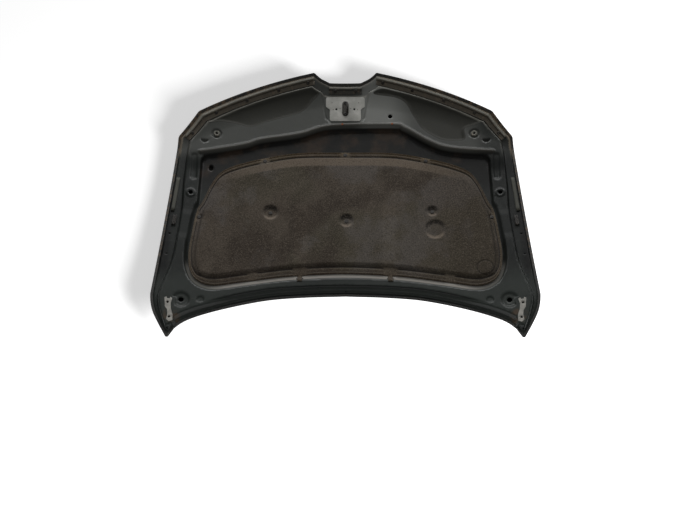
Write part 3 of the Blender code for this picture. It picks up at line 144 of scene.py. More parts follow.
# Pressed lines of the liner's rim: their depths, and where they lie as parts of the rim's width
RIM_RIDGE, RIM_RIDGE_SPAN, RIM_BAND, RIM_BAND_SPAN = 0.0040, (0.0, 0.28), 0.0022, (0.38, 0.76)
RIM_THIN, RIM_THIN_SPAN, INNER_FOLD_SPAN, OUTER_FOLD_SPAN = 0.0024, (0.72, 1.06), (0.24, 0.42), (0.70, 1.04)
RIM_CREASES = (0.07, 0.14, 0.21, 0.28, 0.34, 0.42, 0.5, 0.58, 0.66, 0.74, 0.82, 0.89, 0.96)
BEVEL_CREASES, DIMPLE_CREASES = (0.05, 0.1, 0.16, 0.35, 0.6), (0, 0.2, 0.4, 0.6, 0.8, 1)
SIDE_FOLD, SIDE_FOLD_X, SIDE_FOLD_X_FADE = (0.020, 0.032), 0.46, 0.04
SIDE_FOLD_Y, SIDE_FOLD_Y_FADE = 0.02, 0.05
RIM_PADS = ((-0.322, 0.214), (0.0, 0.246), (0.322, 0.214), (-0.573, -0.070), (0.573, -0.070),
            (-0.347, -0.320), (0.392, -0.325))
RIM_PAD_HALF, RIM_PAD_EDGE = (0.016, 0.022), 0.004
DIMPLES = {"left": (-0.291, -0.034, 0.037), "centre": (0.005, -0.066, 0.034),
           "right": (0.338, -0.031, 0.028)}
WIDE_DIMPLE = (0.346, -0.113, 0.047)
SHALLOW_RING, RING_DEPTH, RING_HALF_WIDTH = (0.522, -0.290, 0.030), 0.002, 0.005
RING_CREASES, RING_FOLD_SPAN = (-0.0045, -0.0025, 0.0, 0.0025, 0.0045), (0.80, 1.20)
INNER_FOLD_SHADE, SIDE_FOLD_SHADE, RING_SHADE = 0.6, 0.65, 0.6
DIMPLE_FLOOR, DIMPLE_WALL, WIDE_DIMPLE_FLOOR = 0.004, 0.018, 0.0085
BOWL_SHADE_INSIDE, BOWL_SHADE_OUTSIDE = 1.5 * DIMPLE_WALL, 0.15 * DIMPLE_WALL
TAB_X, TAB_WIDTH, TAB_END_Y, TAB_CLEARANCE = 0.170, 0.019, -0.340, 0.008
TAB_ROOT_WIDTH = 0.048
TAB_SLOT = (0.027, -0.319, -0.328)
FLANGE_CLIPS = {"front_left": (-0.322, 0.204), "front_centre": (0.0, 0.239),
                "front_right": (0.322, 0.204), "side_left": (-0.563, -0.070),
                "side_right": (0.563, -0.070)}
CLIP_PAD_RADIUS, CLIP_PAD_WALL, CLIP_HOLE = 0.010, 0.004, 0.0046
LINER_EDGE_ROUND, LINER_EDGE_PART = 0.003, 0.45

# Push clips, seals and the side pieces
CLIP_HEAD, CLIP_HEAD_HEIGHT, CLIP_STEM, SEAL_CLIP_HEAD, SEAT_GAP = 0.0080, 0.0022, 0.0026, 0.0065, 0.0004
SEAL_INSET, SEAL_WIDTH, SEAL_CLIP_INSET, SEAL_END_GAP, CENTRE_SEAL_HALF = 0.0165, 0.024, 0.0345, 0.010, 0.068
SEAL_CLIP_PARTS, CENTRE_CLIP_X = (0.05, 0.28, 0.51, 0.74, 0.95), 0.042
SEAL_NOTCH_RADIUS, SEAL_NOTCH_DEPTH, BULB_PART, BULB_FADE_PART = 0.0135, 0.010, 0.40, 0.10
SEAL_SECTION = ((0.0, 0.0), (1.0, 0.0), (1.0, 0.0026), (0.975, 0.0036), (0.93, 0.0036), (0.89, 0.0024),
                (0.54, 0.0022), (0.50, 0.0010), (0.455, 0.0012), (0.43, 0.0030), (0.40, 0.0056),
                (0.34, 0.0080), (0.25, 0.0090), (0.14, 0.0086), (0.05, 0.0064), (0.005, 0.0034))
SIDE_SEAL_FRONT, SIDE_SEAL_REAR, SIDE_SEAL_INSET, SIDE_SEAL_WIDTH = 0.100, -0.050, 0.0175, 0.014
SIDE_CLIP_Y, SIDE_CLIP_INSET, SIDE_CLIP_LENGTH, SIDE_CLIP_WIDTH = -0.092, 0.030, 0.042, 0.014
STRIP_SECTION = ((0.0, 0.0), (1.0, 0.0), (1.0, 0.0028), (0.94, 0.0042), (0.80, 0.0050), (0.60, 0.0044),
                 (0.40, 0.0044), (0.22, 0.0050), (0.06, 0.0042), (0.0, 0.0028))
HOOK_SECTION = ((0.0, 0.0), (1.0, 0.0), (1.0, 0.0080), (0.95, 0.0090), (0.77, 0.0090), (0.72, 0.0080),
                (0.72, 0.0036), (0.66, 0.0030), (0.38, 0.0030), (0.32, 0.0036), (0.32, 0.0064),
                (0.27, 0.0072), (0.05, 0.0072), (0.0, 0.0064))

# Latch plate, striker, bushes and plugs
PLATE_FRONT_HALF, PLATE_REAR_HALF = 0.080, 0.064
PLATE_FRONT_Y, PLATE_SHOULDER_Y, PLATE_REAR_Y = 0.503, 0.455, 0.399
PLATE_SHOULDER, PLATE_SHEET, PLATE_CORNER_RADIUS, PLATE_EDGE = 0.006, 0.0015, 0.010, 0.0004
PLATE_HOLE, STRIKER_EDGE = (0.037, 0.450, 0.0045), 0.001
WELD_SPOTS, WELD_SPOT_RADIUS = ((0.022, 0.452), (0.050, 0.448), (0.055, 0.478)), 0.0025
STRIKER_Y, STRIKER_WIDTH, STRIKER_LENGTH, STRIKER_THICKNESS = 0.452, 0.026, 0.066, 0.003
RIVET_SPACING, RIVET_RADIUS, RIVET_HEIGHT = 0.050, 0.006, 0.003
LOOP_X, LOOP_SPAN, LOOP_HEIGHT, LOOP_WIRE, LOOP_BEND_RADIUS = 0.009, 0.030, 0.032, 0.007, 0.012
BUSH_RADIUS, BUSH_BORE, BUSH_HEIGHT = 0.013, 0.004, 0.007
BUSH_RIM_PART = 0.66
RIDGE_PLUG_X, RIDGE_PLUG_RADIUS, RIDGE_PLUG_HEIGHT = (-0.012, 0.190), 0.0045, 0.0015

# Sections of the round heads, as parts of their radius and height
CLIP_SHAPE = ((1.0, 0.0), (1.0, 0.3), (0.95, 0.6), (0.84, 0.85), (0.68, 0.98), (0.50, 1.0), (0.46, 0.92),
              (0.44, 0.62), (0.36, 0.60), (0.34, 0.80), (0.28, 0.90), (0.0, 0.92))
RIVET_SHAPE = ((1.0, 0.0), (1.0, 0.3), (0.93, 0.7), (0.78, 0.95), (0.62, 1.0), (0.5, 0.9),
               (0.4, 0.55), (0.0, 0.45))
BUSH_SHAPE = ((1.0, 0.55), (0.97, 0.70), (0.90, 0.82), (0.84, 0.90), (0.80, 0.98), (0.74, 1.0), (0.66, 0.98),
              (0.62, 0.90), (0.56, 0.86), (0.46, 0.86), (0.40, 0.80), (0.34, 0.74))
PLUG_SHAPE = ((1.0, 0.0), (1.0, 0.25), (0.92, 0.6), (0.75, 0.88), (0.4, 1.0), (0.0, 1.0))

# Panel seen through the bush's bore and the plate's holes: place, crease radius, radius of the painted shade
# spot laid there
SEEN_THROUGH = ((BUFFER, 1.5 * BUSH_BORE, 1.6 * BUSH_BORE),
                (PLATE_HOLE[:2], 1.3 * PLATE_HOLE[2], 1.4 * PLATE_HOLE[2]))

# Fineness of the pressed shapes
EDGE_STEP, FEATURE_STEP, PANEL_GRID, HIDDEN_GRID = 0.009, 0.006, 0.0058, 0.030
SKIN_GRID, LINER_GRID = 0.016, 0.0062
PANEL_CLEARANCE, LINER_CLEARANCE = 0.45 * PANEL_GRID, 0.4 * LINER_GRID
RAMP_PARTS, BEAD_PARTS = (0.0, 0.25, 0.5, 0.75, 1.0), (0.0, 0.5, 0.85, 1.0)
ROUND_SIDES, SMALL_SIDES, TINY_SIDES = 32, 16, 12
ROW_PITCH, KEPT_INSET, SHARPEST_CORNER, LONGEST_FILLET = 0.866, 0.96, 0.6, 0.45


# Plan geometry

def unit_rows(rows):
    return rows / np.linalg.norm(rows, axis=1)[:, None]


def off_place(x, y, place):
    return np.hypot(x - place[0], y - place[1])


def fillet(before, corner, after, radius, sides):
    a, c, b = (np.array(p, float) for p in (before, corner, after))
    u = (a - c) / np.linalg.norm(a - c)
    v = (b - c) / np.linalg.norm(b - c)
    half = np.arccos(np.clip(u @ v, -1, 1)) / 2
    reach = min(radius / np.tan(half), LONGEST_FILLET * np.linalg.norm(a - c),
                LONGEST_FILLET * np.linalg.norm(b - c))
    middle = (u + v) / np.linalg.norm(u + v)
    centre = c + middle * reach / cos(half)
    start = c + u * reach - centre
    end = c + v * reach - centre
    turn = np.arctan2(start[0] * end[1] - start[1] * end[0], start @ end)
    angles = np.linspace(0, turn, sides + 1)
    return [tuple(centre + np.array((start[0] * cos(t) - start[1] * sin(t),
                                     start[0] * sin(t) + start[1] * cos(t)))) for t in angles]


def bow(start, end, rise, pieces):
    a, b = np.array(start, float), np.array(end, float)
    along = b - a
    left = np.array((-along[1], along[0])) / np.linalg.norm(along)
    return [tuple(a + along * t + left * rise * 4 * t * (1 - t)) for t in np.linspace(0, 1, pieces + 1)]


def spline(points, step, closed=False):
    pts = np.array(points, float)
    count = len(pts)
    result = []
    for i in range(count if closed else count - 1):
        p1, p2 = pts[i], pts[(i + 1) % count]
        p0 = pts[i - 1] if closed or i else 2 * p1 - p2
        p3 = pts[(i + 2) % count] if closed or i + 2 < count else 2 * p2 - p1
        pieces = max(1, round(np.linalg.norm(p2 - p1) / step))
        for t in np.arange(pieces) / pieces:
            result.append(0.5 * (2 * p1 + (p2 - p0) * t + (2 * p0 - 5 * p1 + 4 * p2 - p3) * t ** 2
                                 + (3 * p1 - p0 - 3 * p2 + p3) * t ** 3))
    if not closed:
        result.append(pts[-1])
    return np.array(result)


def split_long(loop, step):
    result = []
    for a, b in zip(loop, np.roll(loop, -1, axis=0)):
        pieces = max(1, int(np.ceil(np.linalg.norm(b - a) / step)))
        result.extend(a + (b - a) * k / pieces for k in range(pieces))
    return np.array(result)


def mirrored(half):
    # A half that runs from the front centre down the right side gives a loop that turns left
    loop = np.vstack((half, half[::-1] * (-1, 1)))
    keep = np.linalg.norm(loop - np.roll(loop, 1, axis=0), axis=1) > 1e-6
    return loop[keep][::-1]


def flipped(loop):
    return loop[::-1] * (-1, 1)


def segment_distance(points, line, closed):
    # A wall stood on the line finds the nearest point quickly
    count = len(line)
    verts = [(x, y, z) for z in (-1.0, 1.0) for x, y in line]
    pairs = [(i, (i + 1) % count) for i in range(count if closed else count - 1)]
    wall = BVHTree.FromPolygons(verts, [(i, j, count + j, count + i) for i, j in pairs])
    return np.array([wall.find_nearest((x, y, 0.0))[3] for x, y in points])


def inside(points, loop):
    a, b = loop, np.roll(loop, -1, axis=0)
    run = np.where(b[:, 1] == a[:, 1], 1e-12, b[:, 1] - a[:, 1])
    found = []
    for part in np.array_split(points, max(1, len(points) // 2000)):
        x, y = part[:, :1], part[:, 1:]
        rises = (a[:, 1] > y) != (b[:, 1] > y)
        cross = a[:, 0] + (y - a[:, 1]) * (b[:, 0] - a[:, 0]) / run
        found.append(((rises & (x < cross)).sum(1) % 2) == 1)
    return np.concatenate(found)


def depth_in(points, loop):
    distance = segment_distance(points, loop, True)
    return np.where(inside(points, loop), distance, -distance)


def inward(loop):
    along = unit_rows(np.roll(loop, -1, axis=0) - loop)
    left = np.stack((-along[:, 1], along[:, 0]), 1)
    both = unit_rows(left + np.roll(left, 1, axis=0))
    return both, 1 / np.maximum((both * left).sum(1), SHARPEST_CORNER)


def inset(loop, width):
    into, stretch = inward(loop)
    return loop + into * (stretch * width)[:, None]


def inset_line(loop, width):
    moved = inset(loop, width)
    return moved if width == 0 else moved[segment_distance(moved, loop, True) > KEPT_INSET * abs(width)]


def circle(centre, radius, sides=ROUND_SIDES):
    angles = np.arange(sides) * 2 * pi / sides
    return np.stack((centre[0] + radius * np.cos(angles), centre[1] + radius * np.sin(angles)), 1)


def capsule(front, rear, radius, sides=ROUND_SIDES):
    half = np.linspace(0, pi, sides // 2 + 1)
    ends = [(front, half), (rear, half + pi)]
    return np.vstack([np.stack((c[0] + radius * np.cos(t), c[1] + radius * np.sin(t)), 1) for c, t in ends])


def bonnet_outline():
    front = bow(NOTCH_TIP, FRONT_CORNER, FRONT_BOW, 40)
    notch = bow((NOTCH_FLAT_HALF, NOTCH_FLOOR_Y), NOTCH_TIP, -NOTCH_BOW, 6)
    ahead = tuple(np.array(WIDEST) + (np.array(CHAMFER_END) - WIDEST) * HIP_LEAD)
    horn = [tuple(p) for p in spline((ahead, WIDEST, HIP, HORN_SIDE, HORN_TIP), EDGE_STEP / 2)]
    bend = [p for p in horn if HORN_SIDE[1] - 1e-6 < p[1] < WIDEST[1] - 1e-6]
    rear = [tuple(p) for p in spline((HORN_TIP,) + REAR_EDGE + ((0.0, REAR_CENTRE_Y),), EDGE_STEP)]
    rear = [p for p in rear if p[0] < REAR_EDGE[0][0] + 1e-6]
    half = [(0.0, NOTCH_FLOOR_Y)]
    half += fillet((0.0, NOTCH_FLOOR_Y), notch[0], notch[2], NOTCH_ROOT_RADIUS, 8) + notch[3:-1]
    half += fillet(notch[-2], NOTCH_TIP, front[3], TIP_RADIUS, 8) + front[4:-3]
    half += fillet(front[-4], FRONT_CORNER, CHAMFER_END, FRONT_CORNER_RADIUS, 8)
    half += fillet(FRONT_CORNER, CHAMFER_END, WIDEST, CORNER_RADIUS, 8)
    half += [WIDEST] + bend + fillet(HORN_SIDE, HORN_TIP, REAR_EDGE[0], HORN_RADIUS, 14) + rear
    return inset(split_long(mirrored(np.array(half)), EDGE_STEP), EDGE_SLACK)


OUTLINE = bonnet_outline()
LINER_LOOP = spline(mirrored(np.array(LINER_EDGE)), FEATURE_STEP, closed=True)
BEAD = spline(BEAD_LINE, FEATURE_STEP)


def unbroken(chosen):
    # Indices of a closed loop's chosen points, in its own order and starting where they start
    start = next(i for i in range(len(chosen)) if chosen[i] and not chosen[i - 1])
    order = np.roll(np.arange(len(chosen)), -start)
    return order[chosen[order]]


def offset_part(test, width):
    # Outline points that pass a test, moved inwards
    into, stretch = inward(OUTLINE)
    index = unbroken(test(OUTLINE))
    return OUTLINE[index] + into[index] * (stretch[index] * width)[:, None]


def frame_foot():
    rail = spline(RAIL_FOOT, FEATURE_STEP)
    front = offset_part(lambda p: p[:, 1] > CHAMFER_END[1] - FRAME_FRONT_START, FRONT_LEDGE)
    front = front[segment_distance(front, OUTLINE, True) > KEPT_INSET * FRONT_LEDGE]
    rear_half = HORN_TIP[0] - FRAME_REAR_STOP
    rear = offset_part(lambda p: (np.abs(p[:, 0]) < rear_half) & (p[:, 1] < 0), REAR_FLANGE)
    return np.vstack((rear, rail, front, flipped(rail)))


def floor_loops():
    into, stretch = inward(LINER_LOOP)
    order = unbroken(LINER_LOOP[:, 1] < FLOOR_REAR_JOIN)
    wall = FLOOR_WALL + (REAR_CHAMFER - FLOOR_WALL) * np.maximum(into[order, 1], 0) ** 2
    foot = LINER_LOOP[order] - into[order] * (stretch[order] * LINER_MARGIN)[:, None]
    top = LINER_LOOP[order] - into[order] * (stretch[order] * (LINER_MARGIN + wall))[:, None]
    loops = []
    for chain, half, back_off in ((foot, FLOOR_HALF, BEAD_RADIUS + FLOOR_WALL),
                                  (top, FLOOR_HALF + FLOOR_WALL, BEAD_RADIUS)):
        bead = BEAD[np.abs(BEAD[:, 0]) < half - FLOOR_WALL] - (0, back_off)
        right = np.array(((half, FLOOR_SIDE_JOIN), (half, FLOOR_FRONT_JOIN)))
        left = right[::-1] * (-1, 1)
        loops.append(split_long(np.vstack((chain, right, bead[::-1], left)), FEATURE_STEP))
    return loops[1], loops[0]


def rear_shelf():
    front, rear = (offset_part(lambda p: (np.abs(p[:, 0]) < REAR_SHELF_HALF) & (p[:, 1] < 0), width)
                   for width in (REAR_SHELF_WIDTH, FLANGE_WIDTH))
    return np.vstack((rear, front[::-1]))


FRAME_FOOT = frame_foot()
FLOOR_TOP, FLOOR_FOOT = floor_loops()
REAR_SHELF = rear_shelf()
WELL = mirrored(np.stack((WELL_HALF_WIDTHS, WELL_STATIONS), 1))
PAD = np.array(HINGE_PAD)[::-1]


def half_moon():
    turn = np.linspace(pi, 2 * pi, 17)
    return np.stack((HALF_MOON[0] + HALF_MOON_RADIUS * np.cos(turn),
                     HALF_MOON[1] + HALF_MOON_RADIUS * np.sin(turn)), 1)


def embosses():
    found = [(spline(POCKET_LEFT, FEATURE_STEP, True)[::-1], POCKET_DEPTH, POCKET_WALL),
             (spline(POCKET_RIGHT, FEATURE_STEP, True), POCKET_DEPTH, POCKET_WALL)]
    paired = [(circle(BUFFER, BUFFER_DISH_RADIUS), BUFFER_DISH_DEPTH, EMBOSS_WALL),
              (half_moon(), HALF_MOON_DEPTH, HALF_MOON_WALL),
              (capsule(FINGER_FRONT, FINGER_REAR, FINGER_RADIUS), FINGER_DEPTH, FINGER_WALL),
              (circle(RAIL_HOLE, RAIL_DISC_RADIUS), -RAIL_DISC_RISE, EMBOSS_WALL),
              (circle(CORNER_HOLE, CORNER_DISH_RADIUS), CORNER_DISH_DEPTH, 2 * EMBOSS_WALL),
              (circle(REAR_DISC, REAR_DISC_RADIUS), REAR_DISC_DEPTH, EMBOSS_WALL)]
    for loop, depth, wall in paired:
        found += [(loop, depth, wall), (flipped(loop), depth, wall)]
    return found


def front_lines():
    # Plan lines of the right-hand front seal's two edges
    def test(p):
        return (p[:, 0] > NOTCH_TIP[0]) & (p[:, 1] > CHAMFER_END[1] + SEAL_END_GAP)

    return [offset_part(test, inner) for inner in (SEAL_INSET, SEAL_INSET + SEAL_WIDTH)]


def seal_clip_places():
    outer, inner = front_lines()
    steps = np.linalg.norm(np.diff(outer, axis=0), axis=1)
    reach = np.concatenate(((0.0,), np.cumsum(steps))) / steps.sum()
    share = (SEAL_CLIP_INSET - SEAL_INSET) / SEAL_WIDTH
    places = []
    for part in SEAL_CLIP_PARTS:
        a, b = (np.array([np.interp(part, reach, row[:, k]) for k in range(2)]) for row in (outer, inner))
        places.append(tuple(a + (b - a) * share))
    return places


SEAL_CLIPS = seal_clip_places()
EMBOSSES = embosses()
for place in SEAL_CLIPS:
    notch = circle(place, SEAL_NOTCH_RADIUS)
    EMBOSSES += [(notch, SEAL_NOTCH_DEPTH, EMBOSS_WALL), (flipped(notch), SEAL_NOTCH_DEPTH, EMBOSS_WALL)]


# Heights

def skin_z(x, y):
    side = CROWN_SIDE * (np.abs(x) / WIDEST[0]) ** CROWN_POWER
    along = (y - REST_Y) / CROWN_REACH
    fore = np.where(along > 0, CROWN_FRONT, CROWN_REAR) * along ** 2
    lip_line = LIP_LINE_Y - LIP_LINE_DROP * (x / LIP_LINE_REACH) ** 2
    lift = np.maximum(1 - (lip_line - y) / LIP_WIDTH, 0)
    return side + fore + LIP_RISE * np.where(lift < 1, lift ** 2, 2 * lift - 1)


def skin_slopes(x, y):
    step = 1e-4
    slope_x = (skin_z(x + step, y) - skin_z(x - step, y)) / (2 * step)
    slope_y = (skin_z(x, y + step) - skin_z(x, y - step)) / (2 * step)
    return slope_x, slope_y


def skin_points(xy, height):
    x, y = xy[:, 0], xy[:, 1]
    slope_x, slope_y = skin_slopes(x, y)
    normal = unit_rows(np.stack((-slope_x, -slope_y, np.ones(len(x))), 1))
    return np.stack((x, y, skin_z(x, y)), 1) + normal * height


def above_skin(x, y, height):
    slope_x, slope_y = skin_slopes(x, y)
    return skin_z(x, y) + height * np.sqrt(1 + slope_x ** 2 + slope_y ** 2)


def ease(depth, width):
    # A pressed wall's section: from 0 outside to 1 at its width inside, rounded at both ends
    part = np.clip(depth / width, 0, 1)
    return part * part * (3 - 2 * part)


def part_between(points, outer, inner):
    to_outer = segment_distance(points, outer, True)
    to_inner = segment_distance(points, inner, True)
    part = to_outer / np.maximum(to_outer + to_inner, 1e-9)
    return np.where(inside(points, inner), 1.0, np.where(inside(points, outer), part, 0.0))


def nearby(points, loop, margin):
    low, high = loop.min(0) - margin, loop.max(0) + margin
    return np.flatnonzero(((points > low) & (points < high)).all(1))


def well_z(x, y):
    front, rear = skin_z(0.0, WELL_FRONT_Y), skin_z(0.0, WELL_REAR_Y)
    part = (y - WELL_REAR_Y) / (WELL_FRONT_Y - WELL_REAR_Y)
    plane = rear + (front - rear) * part + FLANGE_BASE + LEDGE_RISE + WELL_LIFT
    return np.maximum(plane, skin_z(x, y) + FLANGE_BASE + LEDGE_RISE)


def facet(depth, width):
    # A flat sloping face, rounded only at its two ends
    part = np.clip(depth / width, 0, 1)
    return 0.8 * part + 0.2 * ease(part, 1)


def rail_rise(y):
    drop = ease(RAIL_DROP_FRONT - y, RAIL_DROP_LENGTH)
    rise = FRONT_RISE + (RAIL_RISE - FRONT_RISE) * drop
    for start in RAIL_STEP_FRONTS:
        rise = rise + RAIL_STEP * facet(start - y, RAIL_STEP_LENGTH)
    return rise


def pad_plane(x, y):
    slope_x, slope_y = (float(s) for s in skin_slopes(*HINGE_PAD_CENTRE))
    height = float(skin_z(*HINGE_PAD_CENTRE)) + FLANGE_BASE + float(rail_rise(HINGE_PAD_CENTRE[1]))
    return height + slope_x * (np.abs(x) - HINGE_PAD_CENTRE[0]) + slope_y * (y - HINGE_PAD_CENTRE[1])


def shelf_part(x):
    return ease(REAR_SHELF_HALF - np.abs(x), REAR_SHELF_FADE)


def panel_z(x, y):
    # Lower face of the inner panel
    points = np.stack((x, y), 1)
    off_flange = depth_in(points, OUTLINE) - FLANGE_WIDTH
    rise = LEDGE_RISE * ease(off_flange, LEDGE_RAMP)
    frame_part = ease(np.minimum(depth_in(points, FRAME_FOOT), off_flange), FRAME_WALL)
    bead = np.sqrt(np.maximum(1 - (segment_distance(points, BEAD, False) / BEAD_RADIUS) ** 2, 0))
    top = rail_rise(y) + BEAD_RISE * bead
    shelf = ease(depth_in(points, REAR_SHELF), REAR_SHELF_WALL) * shelf_part(x)
    top = top - REAR_SHELF_DEPTH * shelf
    for loop, depth, wall in EMBOSSES:
        near = nearby(points, loop, 0)
        if len(near):
            top[near] -= depth * ease(depth_in(points[near], loop), wall)
    rise = rise + (top - LEDGE_RISE) * frame_part
    wall = part_between(points, FLOOR_TOP, FLOOR_FOOT)
    wall = np.where(y < 0, facet(wall, 1), ease(wall, 1))
    rise = rise + (LEDGE_RISE - rise) * wall
    z = above_skin(x, y, FLANGE_BASE) + rise
    z = z + (well_z(x, y) - z) * ease(depth_in(points, WELL), WELL_WALL)
    for pad in (PAD, flipped(PAD)):
        near = nearby(points, pad, HINGE_PAD_WALL)
        if len(near):
            part = ease(depth_in(points[near], pad) + HINGE_PAD_WALL, HINGE_PAD_WALL)
            z[near] += (pad_plane(x[near], y[near]) - z[near]) * part
    return z


def liner_widths(front, side, rear):
    into, stretch = inward(LINER_LOOP)
    ahead = np.maximum(-into[:, 1], 0) ** 2
    back = np.maximum(into[:, 1], 0) ** 2
    return (side + (front - side) * ahead + (rear - side) * back)[:, None] * into * stretch[:, None]


LINER_FOOT = LINER_LOOP + liner_widths(LINER_FLANGE_FRONT, LINER_FLANGE_SIDE, LINER_FLANGE_REAR)
LINER_TOP = LINER_FOOT + liner_widths(LINER_BEVEL_FRONT, LINER_BEVEL_SIDE, LINER_BEVEL_REAR)


def wave(part, start, end):
    # A rounded rise between two parts of a width
    return np.sin(pi * np.clip((part - start) / (end - start), 0, 1)) ** 2


def rim_break(x, y):
    # 1 along the liner's rim, 0 at its clip pads and at its two tongues
    broken = np.ones(len(x))
    half_x, half_y = RIM_PAD_HALF
    for place in RIM_PADS:
        off = np.maximum(np.abs(x - place[0]) - half_x, np.abs(y - place[1]) - half_y)
        broken = np.minimum(broken, ease(off, RIM_PAD_EDGE))
    for tab in (-TAB_X, TAB_X):
        gap = np.where(y < 0, np.abs(x - tab) - TAB_ROOT_WIDTH / 2, 1.0)
        broken = np.minimum(broken, ease(gap, RIM_PAD_EDGE))
    return broken


def liner_folds(x, y):
    # How deep in one of the rim's two pressed folds, the side fold line or the shallow ring a point is: where
    # the felt's finish paints shade into these creases
    points = np.stack((x, y), 1)
    across = part_between(points, LINER_LOOP, LINER_FOOT)
    folds = np.maximum(INNER_FOLD_SHADE * wave(across, *INNER_FOLD_SPAN), wave(across, *OUTER_FOLD_SPAN))
    folds = folds * rim_break(x, y)
    beside = ease(np.abs(x) - SIDE_FOLD_X, SIDE_FOLD_X_FADE) * ease(SIDE_FOLD_Y - y, SIDE_FOLD_Y_FADE)
    side = wave(depth_in(points, LINER_LOOP), *SIDE_FOLD) * beside
    ring = wave(off_place(x, y, SHALLOW_RING) / SHALLOW_RING[2], *RING_FOLD_SPAN)
    return np.maximum(np.maximum(folds, SIDE_FOLD_SHADE * side), RING_SHADE * ring)


def bowl_sides(x, y):
    # Walls of the pressed bowls: 1 where they face the front edge, -1 where they face the rear; the felt's
    # finish paints a highlight on the first and shade on the second
    found = np.zeros(len(x))
    for place in list(DIMPLES.values()) + [WIDE_DIMPLE]:
        far = off_place(x, y, place)
        side = (place[1] - y) / np.maximum(far, 1e-6)
        found += wave(far, place[2] - BOWL_SHADE_INSIDE, place[2] + BOWL_SHADE_OUTSIDE) * side
    return found


def liner_thickness(x, y):
    # A thin rim with two pressed beads and folds, a steep step and a soft bevel up to the body
    points = np.stack((x, y), 1)
    across = part_between(points, LINER_LOOP, LINER_FOOT)
    bevel = part_between(points, LINER_FOOT, LINER_TOP)
    whole = rim_break(x, y)
    step = ease(bevel, LINER_STEP_PART)
    beads = RIM_RIDGE * wave(across, *RIM_RIDGE_SPAN) + RIM_BAND * wave(across, *RIM_BAND_SPAN)
    thick = LINER_FLANGE + whole * beads
    thick = thick - RIM_THIN * wave(across, *RIM_THIN_SPAN) * whole
    thick = thick + LINER_STEP * step + (LINER_BODY - LINER_FLANGE - LINER_STEP) * facet(bevel, 1)
    for place in FLANGE_CLIPS.values():
        pad = ease(CLIP_PAD_RADIUS + CLIP_PAD_WALL - off_place(x, y, place), CLIP_PAD_WALL)
        thick = thick + (LINER_FLANGE - thick) * pad
    for place in DIMPLES.values():
        bowl = ease(place[2] - off_place(x, y, place), DIMPLE_WALL)
        thick = thick + (DIMPLE_FLOOR - thick) * bowl
    bowl = ease(WIDE_DIMPLE[2] - off_place(x, y, WIDE_DIMPLE), DIMPLE_WALL)
    thick = np.minimum(thick, thick + (WIDE_DIMPLE_FLOOR - thick) * bowl)
    off_ring = np.abs(off_place(x, y, SHALLOW_RING) - SHALLOW_RING[2])
    return thick - RING_DEPTH * ease(RING_HALF_WIDTH - off_ring, RING_HALF_WIDTH)


# Meshes

def plan_mesh(outline, holes, creases, grid, clearance):
    # Triangles in plan that follow an outline, its holes and a set of crease lines
    lines = [(outline, True)] + [(h, True) for h in holes] + creases
    verts, edges = [], []
    for line, closed in lines:
        first = len(verts)
        verts.extend(map(tuple, line))
        last = len(line) if closed else len(line) - 1
        edges.extend((first + i, first + (i + 1) % len(line)) for i in range(last))
    tree = KDTree(len(verts))
    for i, (x, y) in enumerate(verts):
        tree.insert((x, y, 0.0), i)
    tree.balance()
    grid = grid[depth_in(grid, outline) > clearance]
    verts.extend((x, y) for x, y in grid if tree.find((x, y, 0.0))[2] > clearance)
    found = delaunay_2d_cdt([Vector(v) for v in verts], edges, [], 1, 1e-6)
    points = np.array([tuple(v) for v in found[0]])
    faces = np.array([tuple(f) for f in found[2]])
    middle = points[faces].mean(1)
    keep = np.ones(len(faces), bool)
    for hole in holes:
        near = nearby(middle, hole, 0)
        keep[near[inside(middle[near], hole)]] = False
    return points, faces[keep]


def plan_grid(spacing, low, high):
    pitch = spacing * ROW_PITCH
    rows, columns = int((high[1] - low[1]) / pitch) + 1, int((high[0] - low[0]) / spacing) + 1
    row, column = (part.ravel() for part in np.mgrid[0:rows, 0:columns])
    return np.stack((low[0] + (column + 0.5 * (row % 2) + 0.25) * spacing, low[1] + (row + 0.5) * pitch), 1)


def put_in_scene(name, data):
    found = bpy.data.objects.new(name, data)
    bpy.context.scene.collection.objects.link(found)
    return found


def new_mesh(name, bm):
    mesh = bpy.data.meshes.new(name)
    bm.to_mesh(mesh)
    bm.free()
    return mesh


def new_piece(name, bm, material, slot, *nodes):
    # Finish a piece's mesh, give it its material and let it stand for its CAD nodes
    bmesh.ops.delete(bm, geom=[v for v in bm.verts if not v.link_faces], context="VERTS")
    mesh = new_mesh(name, bm)
    mesh.shade_smooth()
    piece = put_in_scene(name, mesh)
    for each in (material if isinstance(material, list) else [material]):
        mesh.materials.append(each)
    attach(piece, "root")
    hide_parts(*nodes)
    return piece


def pressed(points, faces, z):
    bm = bmesh.new()
    verts = [bm.verts.new((x, y, h)) for (x, y), h in zip(points, z)]
    for a, b, c in faces:
        bm.faces.new((verts[a], verts[b], verts[c]))
    return bm


def mark(piece, name, values):
    # A value at each vertex, which the piece's finish reads
    spots = piece.data.attributes.new(name, "FLOAT", "POINT")
    spots.data.foreach_set("value", np.asarray(values, np.float32))


def plan_of(piece):
    return np.array([v.co[:2] for v in piece.data.vertices])


def sized(shape, radius, height):
    return [(radius * a, height * b) for a, b in shape]


def top_of(piece):
    tree = BVHTree.FromObject(piece, bpy.context.evaluated_depsgraph_get())

    def height(x, y):
        place = tree.ray_cast(Vector((x, y, 1.0)), Vector((0.0, 0.0, -1.0)))[0]
        return place.z if place else None

    return height


def upright(x, y, z, slope_x=0.0, slope_y=0.0):
    up = Vector((-slope_x, -slope_y, 1.0)).normalized()
    across = Vector((1.0, 0.0, slope_x)).normalized()
    place = Matrix((across, up.cross(across), up)).transposed().to_4x4()
    place.translation = (x, y, z)
    return place


